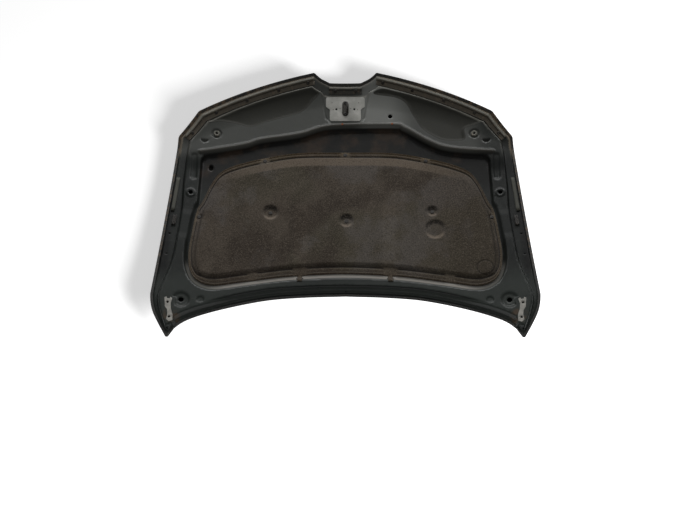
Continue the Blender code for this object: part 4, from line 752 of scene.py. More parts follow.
def seat(height, x, y, radius, gap):
    turns = np.arange(16) * pi / 8
    near = [(x + r * cos(t), y + r * sin(t)) for r in (radius / 2, radius) for t in turns]
    found = np.array([(px, py, height(px, py)) for px, py in near if height(px, py) is not None])
    terms = np.column_stack((found[:, 0] - x, found[:, 1] - y, np.ones(len(found))))
    plane = np.linalg.lstsq(terms, found[:, 2], rcond=None)[0]
    lift = float((found[:, 2] - terms @ plane).max())
    return upright(x, y, float(plane[2]) + lift + gap, float(plane[0]), float(plane[1]))


def turned(bm, profile, place, sides=ROUND_SIDES, closed=False):
    # Spin a profile of (radius, height) points about the upright axis and set it in its place
    chain = [bm.verts.new((radius, 0.0, height)) for radius, height in profile]
    pairs = list(zip(chain[:-1], chain[1:])) + ([(chain[-1], chain[0])] if closed else [])
    edges = [bm.edges.new(pair) for pair in pairs]
    before = set(bm.verts) - set(chain)
    bmesh.ops.spin(bm, geom=chain + edges, cent=(0, 0, 0), axis=(0, 0, 1), angle=2 * pi, steps=sides,
                   use_merge=True)
    made = [v for v in bm.verts if v not in before]
    bmesh.ops.remove_doubles(bm, verts=made, dist=1e-6)
    made = [v for v in bm.verts if v not in before]
    bmesh.ops.recalc_face_normals(bm, faces=list({f for v in made for f in v.link_faces}))
    bmesh.ops.transform(bm, matrix=place, verts=made)


def swept(bm, rings):
    # Extrude a closed ring of points from station to station and cap both ends
    ring = [bm.verts.new(p) for p in rings[0]]
    edges = [bm.edges.new((ring[i - 1], ring[i])) for i in range(len(ring))]
    made = [bmesh.ops.contextual_create(bm, geom=edges)["faces"][0]]
    for points in rings[1:]:
        grown = bmesh.ops.extrude_edge_only(bm, edges=edges)["geom"]
        made += [g for g in grown if isinstance(g, bmesh.types.BMFace)]
        new = [g for g in grown if isinstance(g, bmesh.types.BMVert)]
        linked = {v: next(e.other_vert(v) for e in v.link_edges if e.other_vert(v) in ring) for v in new}
        ordered = sorted(new, key=lambda v: ring.index(linked[v]))
        for vert, point in zip(ordered, points):
            vert.co = point
        ring = ordered
        edges = [bm.edges.get((ring[i - 1], ring[i])) for i in range(len(ring))]
    made += bmesh.ops.contextual_create(bm, geom=edges)["faces"]
    bmesh.ops.recalc_face_normals(bm, faces=made)


def ramp_lines(loop, wall, out=0.0):
    return [(inset_line(loop, wall * part - out), True) for part in RAMP_PARTS]


def clip_holes():
    places = [(x, y) for x, y, _ in DIMPLES.values()] + list(FLANGE_CLIPS.values())
    return [circle(p, CLIP_HOLE, SMALL_SIDES) for p in places]


def panel_holes():
    slot = (STAY_SLOT_LENGTH - STAY_SLOT_WIDTH) / 2
    x, y = STAY_SLOT
    holes = [capsule((x, y + slot), (x, y - slot), STAY_SLOT_WIDTH / 2), circle(BEAM_HOLE, BEAM_HOLE_RADIUS)]
    paired = [(RAIL_HOLE, RAIL_HOLE_RADIUS), (CORNER_HOLE, CORNER_HOLE_RADIUS)]
    paired += [(bolt, HINGE_BOLT_HOLE) for bolt in HINGE_BOLTS]
    paired += [(place, TINY_HOLE_RADIUS) for place in TINY_HOLES]
    for (x, y), radius in paired:
        sides = ROUND_SIDES if radius > TINY_HOLE_RADIUS else TINY_SIDES
        holes.append(circle((x, y), radius, sides))
        if x > NOTCH_BOW:
            holes.append(circle((-x, y), radius, sides))
    width, front, rear = TAB_SLOT
    for x in (-TAB_X, TAB_X):
        left, right = x - width / 2, x + width / 2
        holes.append(np.array(((left, rear), (right, rear), (right, front), (left, front))))
    return holes


def panel_plan():
    edge = inset(OUTLINE, PANEL_EDGE_INSET)
    creases = []
    for width in (FLANGE_WIDTH, FLANGE_WIDTH + LEDGE_RAMP / 2, FLANGE_WIDTH + LEDGE_RAMP):
        creases.append((inset_line(OUTLINE, width), True))
    creases += ramp_lines(FRAME_FOOT, FRAME_WALL)
    creases += [(FLOOR_TOP, True), (FLOOR_FOOT, True)]
    creases += [(inset_line(FLOOR_TOP, STRIP_INSET + part), True) for part in (0.0, STRIP_EDGE)]
    for (x, y), radius, _ in SEEN_THROUGH:
        creases += [(circle((sign * x, y), radius, SMALL_SIDES), True) for sign in (-1, 1)]
    for loop, _, _ in EMBOSSES[:2]:
        creases.append((inset_line(split_long(loop, FEATURE_STEP), -POCKET_EDGE), True))
    creases += ramp_lines(REAR_SHELF, REAR_SHELF_WALL)
    creases += ramp_lines(split_long(WELL, FEATURE_STEP), WELL_WALL)
    for shift in BEAD_PARTS:
        creases += [(BEAD + (0, side * shift * BEAD_RADIUS), False) for side in ((-1, 1) if shift else (-1,))]
    for loop, _, wall in EMBOSSES:
        creases += ramp_lines(split_long(loop, FEATURE_STEP), wall)
    for pad in (PAD, flipped(PAD)):
        creases += [(split_long(pad, FEATURE_STEP), True),
                    (split_long(inset(pad, -HINGE_PAD_WALL), FEATURE_STEP), True)]
    patch = split_long(np.array(HINGE_PATCH)[::-1], FEATURE_STEP)
    creases += [(patch, True), (flipped(patch), True)]
    low, high = edge.min(0), edge.max(0)
    fine = plan_grid(PANEL_GRID, low, high)
    hidden = inset(LINER_LOOP, 3 * LINER_MARGIN)
    fine = fine[~inside(fine, hidden)]
    coarse = plan_grid(HIDDEN_GRID, low, high)
    coarse = coarse[inside(coarse, inset(hidden, HIDDEN_GRID / 3))]
    return plan_mesh(edge, panel_holes(), creases, np.vstack((fine, coarse)), PANEL_CLEARANCE) + (patch,)


def panel_marks(xy):
    # Masks for the panel's paint: painted shade in the pockets, on the floor ahead of the bead, in the rear
    # shelf's groove and where the holes show the panel, painted highlights on the rear strip, the front
    # shoulder and the bead, and a lighter front edge
    far, y = np.abs(xy[:, 0]), xy[:, 1]
    from_edge, in_floor = depth_in(xy, OUTLINE), depth_in(xy, FLOOR_TOP)
    pockets = [ease(depth_in(xy, loop) + POCKET_EDGE, POCKET_EDGE) for loop, _, _ in EMBOSSES[:2]]
    strip = ease(in_floor - STRIP_INSET, STRIP_EDGE) * ease(STRIP_REAR_Y - y, STRIP_REAR_FADE)
    to_sides = STRIP_SIDE_PART + (1 - STRIP_SIDE_PART) * ease(STRIP_HALF - far, STRIP_SIDE_FADE)
    ahead = ease(y - FLOOR_FRONT_JOIN, AHEAD_FADE)
    dark = [np.hypot(far - place[0], y - place[1]) < radius for place, _, radius in SEEN_THROUGH]
    groove_shade = wave(depth_in(xy, REAR_SHELF) / REAR_SHELF_WALL, *GROOVE_SPAN)
    return {"pocket_shade": np.max(pockets, axis=0),
            "strip": strip * to_sides,
            "floor": ease(in_floor - FLOOR_MARK_START, FLOOR_MARK_WIDTH),
            "edge": ease(SEAL_INSET + EDGE_MARK_WIDTH - from_edge, EDGE_MARK_WIDTH) * ahead,
            "shoulder": wave(depth_in(xy, FRAME_FOOT), *SHOULDER_SPAN) * ahead,
            "bead": ease(BEAD_MARK_REACH - segment_distance(xy, BEAD, False), BEAD_MARK_WIDTH),
            "hidden": np.max(dark, axis=0),
            "groove_shade": groove_shade * shelf_part(xy[:, 0])}


def make_panel(paint, bare):
    points, faces, patch = panel_plan()
    bm = pressed(points, faces, panel_z(points[:, 0], points[:, 1]))
    middle = points[faces].mean(1)
    marked = inside(middle, patch) | inside(middle, flipped(patch))
    bm.faces.ensure_lookup_table()
    for i in np.flatnonzero(marked):
        bm.faces[int(i)].material_index = 1
    panel = new_piece("pressed_inner_panel", bm, [paint, bare], "panel_paint", "inner_panel")
    for name, values in panel_marks(plan_of(panel)).items():
        mark(panel, name, values)
    sheet = panel.modifiers.new("sheet", "SOLIDIFY")
    sheet.thickness = PANEL_SHEET
    sheet.offset = 1.0
    return panel


def hem_rows():
    high = 2 * SKIN_SHEET + 2 * HEM_GAP + PANEL_SHEET
    outer = high / 2
    turn = [(outer - outer * sin(t), outer - outer * cos(t)) for t in np.linspace(0, pi, 9)]
    return turn + [(HEM_WIDTH, high)], [(HEM_WIDTH, high - SKIN_SHEET), (SKIN_SHEET, high - SKIN_SHEET)]


def make_skin(paint, cavity):
    outside, back = hem_rows()
    edge = inset(OUTLINE, outside[0][0])
    grid = plan_grid(SKIN_GRID, edge.min(0), edge.max(0))
    points, faces = plan_mesh(edge, [], [(inset_line(OUTLINE, HEM_WIDTH), True)], grid, SKIN_GRID / 3)
    bm = bmesh.new()
    layers = []
    for height in (0.0, SKIN_SHEET):
        layers.append([bm.verts.new(p) for p in skin_points(points, height)])
    for a, b, c in faces:
        bm.faces.new((layers[0][c], layers[0][b], layers[0][a]))
        bm.faces.new((layers[1][a], layers[1][b], layers[1][c])).material_index = 1
    order = [int(np.argmin(np.linalg.norm(points - p, axis=1))) for p in edge]
    rows = [[layers[0][i] for i in order]]
    for width, height in outside[1:] + back:
        rows.append([bm.verts.new(p) for p in skin_points(inset(OUTLINE, width), height)])
    rows.append([layers[1][i] for i in order])
    for low, high in zip(rows[:-1], rows[1:]):
        for i in range(len(order)):
            bm.faces.new((low[i - 1], low[i], high[i], high[i - 1]))
    skin = new_piece("hemmed_outer_skin", bm, [paint, cavity], "skin_paint", "outer_skin")
    skin.data.set_sharp_from_angle(angle=radians(50))
    return skin


def rear_crossing(loop, x):
    rear = loop[loop[:, 1] < LINER_EDGE[-1][1] / 2]
    rear = rear[np.argsort(rear[:, 0])]
    return float(np.interp(x, rear[:, 0], rear[:, 1]))


def liner_plan():
    loop = LINER_LOOP
    for side in (-1, 1):
        left, right = side * TAB_X - TAB_WIDTH / 2, side * TAB_X + TAB_WIDTH / 2
        root = [rear_crossing(LINER_LOOP, x) for x in (left, right)]
        tab = np.array([(left, root[0]), (left, TAB_END_Y), (right, TAB_END_Y), (right, root[1])])
        tab = split_long(tab, FEATURE_STEP / 2)
        tab = tab[:int(np.argmin(np.linalg.norm(tab - (right, root[1]), axis=1))) + 1]
        left, right = left - TAB_CLEARANCE / 2, right + TAB_CLEARANCE / 2
        rear = loop[:, 1] < LINER_EDGE[-1][1] / 2
        near = rear & (loop[:, 0] > left) & (loop[:, 0] < right)
        cut = max(np.flatnonzero(rear & (loop[:, 0] <= left)), key=lambda i: loop[i, 0])
        order = np.roll(np.arange(len(loop)), -cut - 1)
        loop = np.vstack((tab, loop[order][~near[order]]))
    creases = [(LINER_FOOT, True), (LINER_TOP, True)]
    for part in RIM_CREASES:
        creases.append((LINER_LOOP + (LINER_FOOT - LINER_LOOP) * part, True))
    for part in BEVEL_CREASES:
        creases.append((LINER_FOOT + (LINER_TOP - LINER_FOOT) * part, True))
    for x, y, radius in list(DIMPLES.values()) + [WIDE_DIMPLE]:
        creases += [(circle((x, y), radius - DIMPLE_WALL * part), True) for part in DIMPLE_CREASES]
    for offset in RING_CREASES:
        creases.append((circle(SHALLOW_RING[:2], SHALLOW_RING[2] + offset), True))
    for place in FLANGE_CLIPS.values():
        creases += [(circle(place, CLIP_PAD_RADIUS + wall), True) for wall in (0.0, CLIP_PAD_WALL)]
    return loop, creases


def make_liner(felt):
    loop, creases = liner_plan()
    grid = plan_grid(LINER_GRID, loop.min(0), loop.max(0))
    points, faces = plan_mesh(loop, clip_holes(), creases, grid, LINER_CLEARANCE)
    x, y = points[:, 0], points[:, 1]
    low = panel_z(x, y) + PANEL_SHEET + LINER_GAP
    edge_round = ease(depth_in(points, loop), LINER_EDGE_ROUND)
    high = low + liner_thickness(x, y) * (LINER_EDGE_PART + (1 - LINER_EDGE_PART) * edge_round)
    bm = bmesh.new()
    layers = [[bm.verts.new(place) for place in zip(x, y, z)] for z in (low, high)]
    for a, b, c in faces:
        bm.faces.new((layers[0][c], layers[0][b], layers[0][a]))
        bm.faces.new((layers[1][a], layers[1][b], layers[1][c]))
    sides = [(int(f[i]), int(f[(i + 1) % 3])) for f in faces for i in range(3)]
    both = set(sides)
    for a, b in sides:
        if (b, a) not in both:
            bm.faces.new((layers[0][a], layers[0][b], layers[1][b], layers[1][a]))
    liner = new_piece("felt_liner", bm, felt, "felt", "liner")
    xy = plan_of(liner)
    mark(liner, "fold_shade", liner_folds(xy[:, 0], xy[:, 1]))
    mark(liner, "rim", 1 - part_between(xy, LINER_LOOP, LINER_FOOT))
    mark(liner, "bowl", bowl_sides(xy[:, 0], xy[:, 1]))
    # Mask for the painted light on the bevel, strongest towards the front
    bevel = part_between(xy, LINER_FOOT, LINER_TOP)
    lit = ease(bevel, BEVEL_MARK_START) * (bevel < BEVEL_MARK_END)
    mark(liner, "bevel", lit * ease(xy[:, 1] - BEVEL_FADE_Y, BEVEL_FADE))
    return liner


def strip_rings(height, outer, inner, profile):
    # Rings of a strip laid on a face: both edges follow it, and it is lifted clear of bumps between
    rails = [np.array([(x, y, height(x, y)) for x, y in line]) for line in (outer, inner)]
    parts = np.linspace(0, 1, 9)
    lift = np.zeros(len(outer))
    for i in range(len(outer) - 1):
        for along in parts:
            a, b = (rail[i] + (rail[i + 1] - rail[i]) * along for rail in rails)
            for across in parts:
                x, y, z = a + (b - a) * across
                rise = (height(x, y) or z) - z
                lift[i:i + 2] = np.maximum(lift[i:i + 2], rise)
    for rail in rails:
        rail[:, 2] += lift + SEAT_GAP
    along = np.gradient(rails[0], axis=0)
    up = unit_rows(np.cross(along, rails[1] - rails[0]))
    up = up * np.sign(up[:, 2])[:, None]
    return [[a + (b - a) * u + n * v for u, v in profile] for a, b, n in zip(rails[0], rails[1], up)]


def make_front_seals(height, rubber):
    lines = front_lines()
    middle = np.linspace(-CENTRE_SEAL_HALF, CENTRE_SEAL_HALF, 17)
    level = NOTCH_FLOOR_Y - SEAL_INSET
    centre = [np.stack((middle, np.full(len(middle), y)), 1) for y in (level, level - SEAL_WIDTH)]
    found = {}
    for side, edges in (("right", lines), ("left", [line * (-1, 1) for line in lines]), ("centre", centre)):
        bm = bmesh.new()
        swept(bm, strip_rings(height, *edges, SEAL_SECTION))
        found[side] = new_piece("rubber_seal_" + side, bm, rubber, "rubber", "front_seal_" + side)
        inner = depth_in(plan_of(found[side]), OUTLINE) - SEAL_INSET
        mark(found[side], "flange", ease(inner - BULB_PART * SEAL_WIDTH, BULB_FADE_PART * SEAL_WIDTH))
    return found


def clip_profile(radius, stem):
    # Half section of a push clip: stem, rounded head and the dished ring of its centre pin
    rim = sized(CLIP_SHAPE, radius, CLIP_HEAD_HEIGHT)
    return [(0.0, -stem), (CLIP_STEM, -stem), (CLIP_STEM, 0.0)] + rim if stem else [(0.0, 0.0)] + rim


def make_seal_clips(seals, plastic):
    bm = bmesh.new()
    centre_y = NOTCH_FLOOR_Y - SEAL_CLIP_INSET
    places = [("right", x, y) for x, y in SEAL_CLIPS] + [("left", -x, y) for x, y in SEAL_CLIPS]
    places += [("centre", -CENTRE_CLIP_X, centre_y), ("centre", CENTRE_CLIP_X, centre_y)]
    heights = {side: top_of(seal) for side, seal in seals.items()}
    for side, x, y in places:
        seated = seat(heights[side], x, y, SEAL_CLIP_HEAD, SEAT_GAP)
        turned(bm, clip_profile(SEAL_CLIP_HEAD, 0.0), seated)
    nodes = [f"seal_clip_{side}_{n}" for side in ("left", "right") for n in range(1, len(SEAL_CLIPS) + 1)]
    nodes += ["seal_clip_centre_1", "seal_clip_centre_2"]
    new_piece("seal_push_clips", bm, plastic, "clip_plastic", *nodes)


def make_liner_clips(liner, plastic):
    bm = bmesh.new()
    height = top_of(liner)
    places = {"dimple_" + key: (x, y) for key, (x, y, _) in DIMPLES.items()}
    places.update(FLANGE_CLIPS)
    for x, y in places.values():
        stem = float(liner_thickness(np.array([x]), np.array([y]))[0]) + 2 * PANEL_SHEET + LINER_GAP
        turned(bm, clip_profile(CLIP_HEAD, stem), seat(height, x, y, CLIP_HEAD, SEAT_GAP))
    new_piece("liner_push_clips", bm, plastic, "clip_plastic", *("liner_clip_" + key for key in places))


def side_rows(front, rear, edge, width):
    side = OUTLINE[(OUTLINE[:, 0] > HORN_SIDE[0] - FRONT_LEDGE) & (OUTLINE[:, 1] > WIDEST[1])
                   & (OUTLINE[:, 1] < CHAMFER_END[1])]
    side = side[np.argsort(side[:, 1])]
    y = np.linspace(front, rear, 12)
    x = np.interp(y, side[:, 1], side[:, 0])
    return [np.stack((x - off, y), 1) for off in (edge, edge + width)]


def make_side_pieces(height, rubber, plastic):
    half = SIDE_CLIP_LENGTH / 2
    strips = side_rows(SIDE_SEAL_FRONT, SIDE_SEAL_REAR, SIDE_SEAL_INSET, SIDE_SEAL_WIDTH)
    hooks = side_rows(SIDE_CLIP_Y + half, SIDE_CLIP_Y - half, SIDE_CLIP_INSET, SIDE_CLIP_WIDTH)
    for side, sign in (("right", 1), ("left", -1)):
        bm = bmesh.new()
        swept(bm, strip_rings(height, *(row * (sign, 1) for row in strips), STRIP_SECTION))
        new_piece("side_strip_" + side, bm, rubber, "rubber", "side_seal_" + side)
        bm = bmesh.new()
        swept(bm, strip_rings(height, *(row * (sign, 1) for row in hooks), HOOK_SECTION))
        new_piece("side_hook_" + side, bm, plastic, "clip_plastic", "side_clip_" + side)


def plate(bm, outline, holes, low, high, place, edge):
    # A flat plate with holes, its upper rims rounded
    points, faces = plan_mesh(outline, holes, [], np.empty((0, 2)), 1.0)
    verts = [bm.verts.new((x, y, low)) for x, y in points]
    lower = [bm.faces.new([verts[i] for i in face]) for face in faces]
    grown = bmesh.ops.extrude_face_region(bm, geom=lower)["geom"]
    top = [g for g in grown if isinstance(g, bmesh.types.BMVert)]
    bmesh.ops.translate(bm, verts=top, vec=(0.0, 0.0, high - low))
    made = set(verts) | set(top)
    faces = list({f for v in made for f in v.link_faces})
    bmesh.ops.recalc_face_normals(bm, faces=faces)
    rims = [e for e in {e for v in top for e in v.link_edges}
            if all(v in top for v in e.verts) and e.calc_face_angle(0.0) > 1.0]
    before = set(bm.verts) - made
    bmesh.ops.bevel(bm, geom=rims, offset=edge, offset_type="OFFSET", segments=3, profile=0.5, affect="EDGES",
                    material=-1)
    bmesh.ops.transform(bm, matrix=place, verts=[v for v in bm.verts if v not in before])


def well_frame():
    rise = float(well_z(0.0, WELL_FRONT_Y) - well_z(0.0, WELL_REAR_Y)) / (WELL_FRONT_Y - WELL_REAR_Y)
    stretch = (1 + rise ** 2) ** 0.5
    z = float(well_z(0.0, STRIKER_Y)) + PANEL_SHEET * stretch
    return upright(0.0, STRIKER_Y, z, 0.0, rise), stretch


def make_latch(coat, zinc, dark):
    place, stretch = well_frame()

    def down(y):
        return (y - STRIKER_Y) * stretch

    front, shoulder, rear = (down(y) for y in (PLATE_FRONT_Y, PLATE_SHOULDER_Y, PLATE_REAR_Y))
    wide, narrow = PLATE_FRONT_HALF, PLATE_REAR_HALF
    waist = [(wide, shoulder + PLATE_SHOULDER), (narrow, shoulder - PLATE_SHOULDER)]
    half = [(0.0, front)]
    half += fillet((0.0, front), (wide, front), waist[0], PLATE_CORNER_RADIUS, 8) + waist
    half += fillet(waist[1], (narrow, rear), (0.0, rear), PLATE_CORNER_RADIUS, 8) + [(0.0, rear)]
    hole_x, hole_y, hole_radius = PLATE_HOLE
    holes = [circle((x, down(hole_y)), hole_radius) for x in (-hole_x, hole_x)]
    bm = bmesh.new()
    low = SEAT_GAP
    plate(bm, mirrored(np.array(half)), holes, low, low + PLATE_SHEET, place, PLATE_EDGE)
    new_piece("latch_reinforcement", bm, coat, "primer", "latch_plate")
    low += PLATE_SHEET + SEAT_GAP
    end = STRIKER_LENGTH / 2 - STRIKER_WIDTH / 2
    bm = bmesh.new()
    foot = capsule((0, end), (0, -end), STRIKER_WIDTH / 2)
    plate(bm, foot, [], low, low + STRIKER_THICKNESS, place, STRIKER_EDGE)
    new_piece("striker_foot", bm, zinc, "zinc", "striker_base")
    low += STRIKER_THICKNESS + SEAT_GAP
    bm = bmesh.new()
    head = [(0.0, 0.0)] + sized(RIVET_SHAPE, RIVET_RADIUS, RIVET_HEIGHT)
    for sign in (1, -1):
        turned(bm, head, place @ Matrix.Translation((0.0, sign * RIVET_SPACING / 2, low)))
    new_piece("striker_rivets", bm, dark, "zinc", "striker_rivet_front", "striker_rivet_rear")
    make_loop(place @ Matrix.Translation((LOOP_X, 0.0, low)), zinc)


def make_loop(place, zinc):
    half, high = LOOP_SPAN / 2, LOOP_HEIGHT - LOOP_WIRE / 2
    path = [(-half, 0.0)]
    path += fillet((-half, 0.0), (-half, high), (half, high), LOOP_BEND_RADIUS, 12)
    path += fillet((-half, high), (half, high), (half, 0.0), LOOP_BEND_RADIUS, 12)
    path = np.array(path + [(half, 0.0)])
    along = unit_rows(np.gradient(path, axis=0))
    along[0], along[-1] = (0.0, 1.0), (0.0, -1.0)
    section = circle((0.0, 0.0), LOOP_WIRE / 2, 24)
    bm = bmesh.new()
    swept(bm, [[place @ Vector((u, y - tz * v, z + ty * v)) for u, v in section]
               for (y, z), (ty, tz) in zip(path, along)])
    loop = new_piece("striker_wire_loop", bm, zinc, "zinc", "striker_loop")
    loop.data.set_sharp_from_angle(angle=radians(60))


def make_bushes(height, rubber):
    ring = [(BUSH_BORE, 0.0), (BUSH_RADIUS, 0.0)] + sized(BUSH_SHAPE, BUSH_RADIUS, BUSH_HEIGHT)
    ring.append((BUSH_BORE, BUSH_HEIGHT * BUSH_RIM_PART))
    for side, sign in (("right", 1), ("left", -1)):
        bm = bmesh.new()
        seated = seat(height, sign * BUFFER[0], BUFFER[1], BUSH_RADIUS, SEAT_GAP)
        turned(bm, ring, seated, 2 * ROUND_SIDES, closed=True)
        new_piece("rubber_bush_" + side, bm, rubber, "rubber", "buffer_bush_" + side)


def make_plugs(height, rust):
    cap = [(0.0, 0.0)] + sized(PLUG_SHAPE, RIDGE_PLUG_RADIUS, RIDGE_PLUG_HEIGHT)
    bm = bmesh.new()
    for x in RIDGE_PLUG_X:
        y = float(np.interp(x, BEAD[:, 0], BEAD[:, 1]))
        turned(bm, cap, seat(height, x, y, RIDGE_PLUG_RADIUS, SEAT_GAP))
    new_piece("rusty_plugs", bm, rust, "rust", "ridge_plug_left", "ridge_plug_right")


# Finishes

class Wire:
    """One output of a shader node; arithmetic on it adds that material's Math nodes."""

    def __init__(self, finish, socket):
        self.finish, self.socket = finish, socket

    def math(self, operation, first, second=0.0):
        return self.finish.add("ShaderNodeMath", {"operation": operation}, {0: first, 1: second})

    def __add__(self, other):
        return self.math("ADD", self, other)

    def __sub__(self, other):
        return self.math("SUBTRACT", self, other)

    def __rsub__(self, other):
        return self.math("SUBTRACT", other, self)

    def __mul__(self, other):
        return self.math("MULTIPLY", self, other)

    def __pow__(self, other):
        return self.math("POWER", self, other)

    def __neg__(self):
        return self.math("MULTIPLY", self, -1.0)

    __radd__, __rmul__ = __add__, __mul__

    def ramp(self, low, high):
        # 0 below low, 1 above high, eased between
        return self.finish.add("ShaderNodeMapRange", {"interpolation_type": "SMOOTHSTEP"},
                               {"Value": self, "From Min": low, "From Max": high})


class Finish:
    """A material whose nodes are written as expressions."""

    def __init__(self, name):
        self.material = bpy.data.materials.new(name)
        self.material.use_nodes = True
        self.tree = self.material.node_tree
        self.shader = self.tree.nodes["Principled BSDF"]
        self.place = self.add("ShaderNodeTexCoord", {}, {}, "Object")
        self.x, self.y = (self.add("ShaderNodeSeparateXYZ", {}, {0: self.place}, out) for out in "XY")
        self.far = self.add("ShaderNodeMath", {"operation": "ABSOLUTE"}, {0: self.x})

    def add(self, kind, settings, values, out=0):
        node = self.tree.nodes.new(kind)
        for key, value in settings.items():
            setattr(node, key, value)
        for key, value in values.items():
            self.feed(node.inputs[key], value)
        return Wire(self, node.outputs[out])

    def feed(self, socket, value):
        if isinstance(value, Wire):
            self.tree.links.new(value.socket, socket)
        elif socket.type == "RGBA":
            socket.default_value = (*value, 1.0)
        else:
            socket.default_value = value

    def noise(self, scale, detail=3.0, roughness=0.55, stretch=(1, 1, 1)):
        vector = self.add("ShaderNodeVectorMath", {"operation": "MULTIPLY"}, {0: self.place, 1: stretch})
        return self.add("ShaderNodeTexNoise", {}, {"Vector": vector, "Scale": scale, "Detail": detail,
                                                   "Roughness": roughness})

    def attribute(self, name):
        return self.add("ShaderNodeAttribute", {"attribute_name": name}, {}, "Fac")

    def spots(self, places, radius):
        # 1 on a spot at each plan place and at its mirror image
        found = None
        for x, y in places:
            off_x = self.far - x
            off_y = self.y - y
            off = (off_x * off_x + off_y * off_y) ** 0.5
            spot = 1 - off.ramp(0.7 * radius, 1.2 * radius)
            found = spot if found is None else found + spot
        return found

    def mix(self, part, first, second):
        mixer = self.tree.nodes.new("ShaderNodeMix")
        mixer.data_type = "RGBA"
        for index, value in ((0, part), (6, first), (7, second)):
            self.feed(mixer.inputs[index], value)
        return Wire(self, mixer.outputs[2])

    def base(self, part, dark, light):
        self.colour = self.mix(part, srgb(*dark), srgb(*light))

    def layer(self, part, *levels):
        # A part of the surface takes a colour over what is there
        self.colour = self.mix(part, self.colour, srgb(*levels))

    def bump(self, height, distance, strength=1.0):
        return self.add("ShaderNodeBump", {}, {"Height": height, "Distance": distance, "Strength": strength})

    def coat(self, **values):
        for key, value in values.items():
            self.feed(self.shader.inputs[key.replace("_", " ")], value)
        return self.material


def srgb(*levels):
    # Linear colour of the given 8-bit levels
    return tuple(((v / 255 + 0.055) / 1.055) ** 2.4 if v > 10 else v / 255 / 12.92 for v in levels)


def panel_paint():
    f = Finish("panel_paint")
    pocket_shade, strip, hidden, groove_shade = (f.attribute(name) for name in ("pocket_shade", "strip", "hidden", "groove_shade"))
    floor, edge, shoulder, bead = (f.attribute(name) for name in ("floor", "edge", "shoulder", "bead"))
    broad, fine = f.noise(3.5, 4.0), f.noise(45.0, 4.0, 0.65)
    dust = f.noise(900.0, 2.0, 0.7)
    f.base(broad.ramp(0.35, 0.7), (16, 18, 17), (27, 30, 28))
    # Painted shade in the channels between the side rails and the edge, from the rear up to the front beam
    f.layer(f.far.ramp(0.652, 0.675) * (1 - f.y.ramp(0.1, 0.2)) * 0.9, 7, 8, 8)
    f.layer((1 - f.y.ramp(-0.38, -0.28)) * 0.6, 46, 50, 47)
    # Painted light: the front beam is painted lighter where it faces the light, and lighter still beside the
    # latch well
    lit_beam = f.y.ramp(0.17, 0.25) * (1 - pocket_shade) * (1 - floor) * (1 - f.x.ramp(0.50, 0.57) * 0.7)
    beside = lit_beam * (f.x.ramp(0.02, 0.10) - f.x.ramp(0.16, 0.30))
    f.layer(lit_beam * 0.65, 70, 71, 68)
    f.layer(beside * 0.8, 100, 101, 98)
    # Painted shade: the pockets take a darker flat tone than the painted-lit beam around them, and are
    # rougher
    f.layer(pocket_shade * 0.9, 44, 44, 40)
    # Painted shadow of the bead on the floor ahead of it; the same mask also places a brown stain
    behind = f.y.ramp(0.02, 0.12) * floor
    f.layer(behind * 0.9, 10, 10, 9)
    smear = f.noise(9.0, 5.0, 0.6)
    f.layer(smear.ramp(0.46, 0.64) * behind * 0.55, 46, 35, 25)
    # Painted light on the band along the bead
    f.layer(bead * 0.7, 46, 44, 39)
    f.layer(edge * (0.5 + fine * 0.4) * (0.3 + f.far.ramp(0.12, 0.15) * 0.7), 108, 99, 86)
    # Painted highlight along the frame's front shoulder behind the seal
    f.layer(shoulder * 0.6 * (1 - f.far.ramp(0.54, 0.60) * 0.7), 124, 122, 115)
    hinge = f.spots((HINGE_STAIN,), HINGE_STAIN_RADIUS) * fine.ramp(0.42, 0.6)
    f.layer(hinge * 0.5, 72, 55, 38)
    # Painted highlight on the strip of floor behind the liner's rear edge
    f.layer(strip * 0.95, 122, 119, 114)
    # Painted shade in the rear shelf's groove
    f.layer(groove_shade * 0.9, 5, 5, 5)
    grit = dust.ramp(0.64, 0.72) * fine.ramp(0.48, 0.62)
    f.layer(grit * 0.4, 108, 104, 94)
    # Painted shade: near black where the panel shows through the bush's bore and the plate's holes
    f.layer(hidden, 4, 4, 4)
    steps = f.y.ramp(-0.185, -0.178) - f.y.ramp(-0.036, -0.030)
    rough = 0.24 + broad * 0.08 + fine * 0.10 + pocket_shade * 0.4 + steps * 0.3
    return f.coat(Base_Color=f.colour, Roughness=rough, Normal=f.bump(f.noise(260.0, 2.0), 0.0002, 0.4),
                  Specular_IOR_Level=0.22)


def bare_coat():
    f = Finish("hinge_primer")
    worn = f.noise(60.0, 4.0)
    f.base(worn.ramp(0.35, 0.65), (116, 114, 109), (136, 134, 128))
    return f.coat(Base_Color=f.colour, Roughness=0.55 + worn * 0.15, Specular_IOR_Level=0.35,
                  Normal=f.bump(f.noise(400.0), 0.0001, 0.4))


def cavity_shade_finish():
    # Near-black painted shade on the skin's inner face, which stands in for the dark inside the closed cavity
    # where the panel's holes show it
    f = Finish("cavity_painted_shade")
    grain = f.noise(120.0)
    return f.coat(Base_Color=f.mix(grain, srgb(6, 6, 6), srgb(12, 12, 11)), Roughness=0.8 + grain * 0.1,
                  Specular_IOR_Level=0.1)


def skin_paint():
    f = Finish("skin_paint")
    broad = f.noise(9.0, 4.0)
    dust = f.noise(700.0, 2.0, 0.7)
    f.base(broad.ramp(0.35, 0.65), (24, 25, 24), (34, 33, 30))
    wax = f.noise(60.0, 4.0, 0.65).ramp(0.44, 0.62) * (f.y.ramp(-0.34, -0.20) - f.y.ramp(0.50, 0.56))
    f.layer(wax * 0.6, 86, 70, 52)
    f.layer(dust.ramp(0.62, 0.72) * 0.3, 104, 92, 76)
    return f.coat(Base_Color=f.colour, Roughness=0.36 + broad * 0.14, Coat_Weight=0.15, Coat_Roughness=0.2,
                  Normal=f.bump(f.noise(240.0, 2.0), 0.0002, 0.3), Specular_IOR_Level=0.4)


